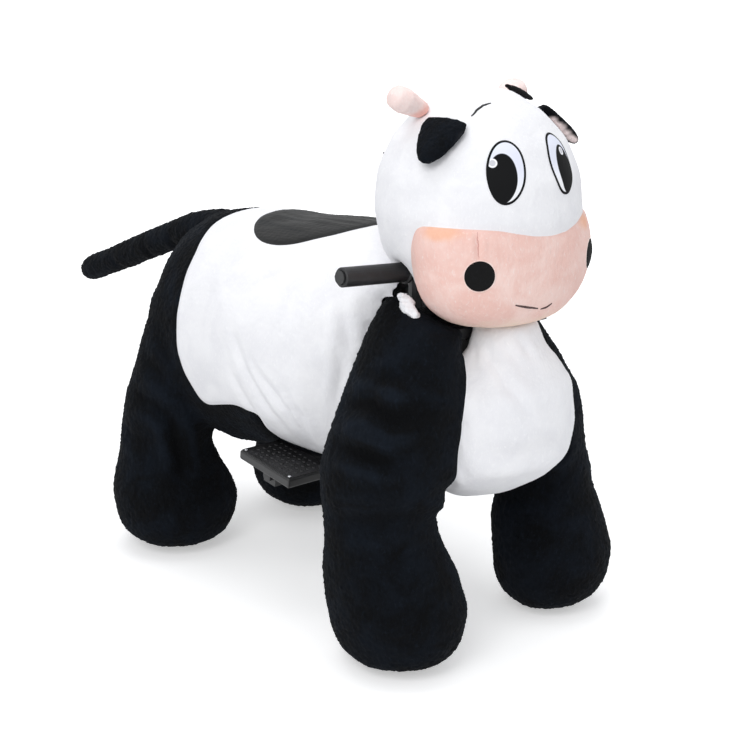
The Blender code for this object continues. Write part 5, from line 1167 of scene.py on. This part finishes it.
class COW_OT_face(bpy.types.Operator):
    """Sews on the eyes, the brow, the nostrils and the mouth"""

    bl_idname = "cow.face"
    bl_label = "Face"

    def execute(self, context):
        sizes = context.scene.cow_sizes
        head = tree_of([bpy.data.objects["head_cover"]])
        muzzle = tree_of([bpy.data.objects["muzzle_cover"]])
        column = "steering_column"
        for side, eye in EYES.items():
            half_size = (eye["breadth"] * sizes.eye_half_width, sizes.eye_half_height)
            patch = disc_patch(f"eye_patch_{side}", eye["centre"], eye["outward"], eye["up"],
                               half_size, head, proud=0.0009, dome=0.0012, thick=0.0022)
            printed = eye_print(f"printed_satin_eye_{side}", eye["pupil"], eye["pupil_size"],
                                eye["highlight"], eye["shine"])
            finish_piece(patch, column, printed)
            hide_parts(f"eye_{side}")
        dark = thread("embroidery_thread_black", "#0b0a0c")
        brown = thread("embroidery_thread_brown", "#3a1d1a")
        rose = thread("sewing_thread_rose", "#cf9a92")
        for name, thickness, tree, sink, colour, slot in (
                ("brow_stitch", 1.3, head, 0.0002, dark, BLACK),
                ("mouth_stitch", 1.25, muzzle, 0.0004, brown, BLACK),
                ("mouth_stitch_end", 1.25, muzzle, 0.0004, brown, BLACK),
                ("nose_seam", 0.7, muzzle, 0.0006, rose, PINK)):
            sewn_line(name, STITCHES[name], thickness * sizes.stitch, tree, sink, colour)
        # The nostril plushes' third colours are painted highlights on their tuft tips.
        pile = plush("minky_plush_nostril", paint("#060607"), paint("#030304"), paint("#15161a"),
                     pile=0.8, tuft=2.6, sheen=0.05)
        rim = plush("minky_plush_nostril_rim", paint("#fbe6df"), paint("#f2cfc5"), paint("#fff5f0"),
                    pile=0.8, tuft=2.6)
        for side, (centre, outward) in NOSTRILS.items():
            for part, size, proud, dome, slot, fabric in (
                    ("nostril_rim", 1.09, 0.0003, 0.0008, PINK, rim),
                    ("nostril", 1.0, 0.0006, 0.0022, BLACK, pile)):
                radius = size * sizes.nostril
                patch = disc_patch(f"{part}_{side}", centre, outward, (0, 0, 1), (radius, radius),
                                   muzzle, proud, dome, thick=0.0030, rings=14)
                finish_piece(patch, column, fabric)
        last = 44
        poll = wad("poll_tuft", [((0.081 + 0.057 * i / last, -0.497, 0.8895 - 0.0250 * i / last),
                                  0.0030 + 0.0034 * math.sin(math.pi * i / last))
                                 for i in range(last + 1)], grain=0.0015, seed=211, tufted=0.25)
        finish_piece(poll, column, pile)
        draw = np.random.default_rng(223)
        last = 15
        fluff = wad("neck_fluff", [((-0.146 - 0.006 * i / last + draw.normal(0, 0.0016),
                                     -0.513 - 0.032 * i / last, 0.588 - 0.023 * i / last),
                                    0.0066 + 0.0026 * math.sin(math.pi * i / last)
                                    + draw.uniform(0, 0.0022)) for i in range(last + 1)],
                    grain=0.0018, seed=217, tufted=1.5)
        finish_piece(fluff, column, bpy.data.objects["chest_cover"].data.materials[0])
        return {"FINISHED"}


class COW_OT_frame_finish(bpy.types.Operator):
    """Finishes the steel frame, the drive, the wheels and the foot plates"""

    bl_idname = "cow.frame_finish"
    bl_label = "Frame, wheels and pedals"

    def execute(self, context):
        coat = powder_coat()
        zinc = bright_metal("zinc_plated_steel", "#c9cbce", "#9c9fa4", 0.28, 0.25)
        chrome = bright_metal("chrome_plated_steel", "#e4e5e8", "#cfd1d5", 0.06, 0.05)
        rubber = moulded("grip_rubber_black", "#222226", "#101012", 0.5, 1.6, 0.25)
        tyre = moulded("polyurethane_tyre_black", "#2a2a2c", "#171718", 0.6, 2.4, 0.3)
        plastic = moulded("abs_plastic_black", "#17181a", "#0d0e10", 0.36, 1.3, 0.15, coat=0.1)
        red = moulded("acrylic_red", "#d8262c", "#b5151b", 0.12, 4.0, 0.05, coat=0.6)
        yellow = moulded("acrylic_yellow", "#f3c21c", "#dfa70c", 0.12, 4.0, 0.05, coat=0.6)
        dress(coat, "head_tube", "spine_tube", "rear_crossmember", "rear_blade_right",
              "rear_blade_left", "seat_riser", "battery_tray", "pedal_bar", "fork_crown",
              "fork_blade_right", "fork_blade_left", "top_yoke", "head_post", "handlebar")
        dress(zinc, "drive_motor", "drive_controller", "rear_axle_left", "rear_axle_right",
              "steerer_tube", "front_axle_right", "front_axle_left", "control_door")
        dress(chrome, "upper_bearing", "lower_bearing", "coin_return_flap", "door_lock")
        dress(birch_plywood(), "seat_board")
        dress(plastic, "gearbox", "battery", "footrest_left", "accelerator_pedal", "control_box",
              "coin_acceptor")
        wheels = ("front_wheel_right", "front_wheel_left", "rear_wheel_right", "rear_wheel_left")
        dress(tyre, *wheels)
        dress(rubber, "grip_right", "grip_left")
        dress(red, "start_button", "coin_return_button")
        dress(yellow, "music_button")
        screws = ((0.0385, -0.0600), (0.0385, 0.0600), (-0.0385, 0.0600))
        for side, sign, body in (("right", -1, "accelerator_pedal"), ("left", 1, "chassis")):
            finish_piece(tread_mat(f"tread_mat_{side}", sign), body, rubber, smooth=False)
            spots = [plate_place(sign, across, along, TREAD[2]) for across, along in screws]
            finish_piece(screw_heads(f"plate_screws_{side}", spots, 0.0030), body, chrome)
        for wheel in wheels:
            finish_piece(hub_cap(wheel), wheel, zinc, smooth=False)
        return {"FINISHED"}


STEPS = (COW_OT_stage, COW_OT_body_skins, COW_OT_head_skins, COW_OT_filling, COW_OT_face,
         COW_OT_frame_finish)


class COW_PT_panel(bpy.types.Panel):
    """Lists the ride's sizes and colours, and buttons for its building steps"""

    bl_label = "Plush cow ride"
    bl_idname = "COW_PT_panel"
    bl_space_type = "VIEW_3D"
    bl_region_type = "UI"
    bl_category = "Cow ride"

    def draw(self, context):
        for group in (context.scene.cow_colours, context.scene.cow_sizes):
            for key in group.bl_rna.properties.keys():
                if key not in ("rna_type", "name"):
                    self.layout.prop(group, key)
        for step in STEPS:
            self.layout.operator(step.bl_idname)


CLASSES = (CowColours, CowSizes, *STEPS, COW_PT_panel)


def register():
    for cls in CLASSES:
        bpy.utils.register_class(cls)
    bpy.types.Scene.cow_colours = bpy.props.PointerProperty(type=CowColours)
    bpy.types.Scene.cow_sizes = bpy.props.PointerProperty(type=CowSizes)


def unregister():
    del bpy.types.Scene.cow_sizes
    del bpy.types.Scene.cow_colours
    for cls in reversed(CLASSES):
        bpy.utils.unregister_class(cls)


def main():
    """Builds the whole ride."""
    register()
    bpy.ops.cow.stage()
    bpy.ops.cow.body_skins()
    bpy.ops.cow.head_skins()
    bpy.ops.cow.filling()
    bpy.ops.cow.face()
    bpy.ops.cow.frame_finish()


if __name__ == "__main__":
    main()
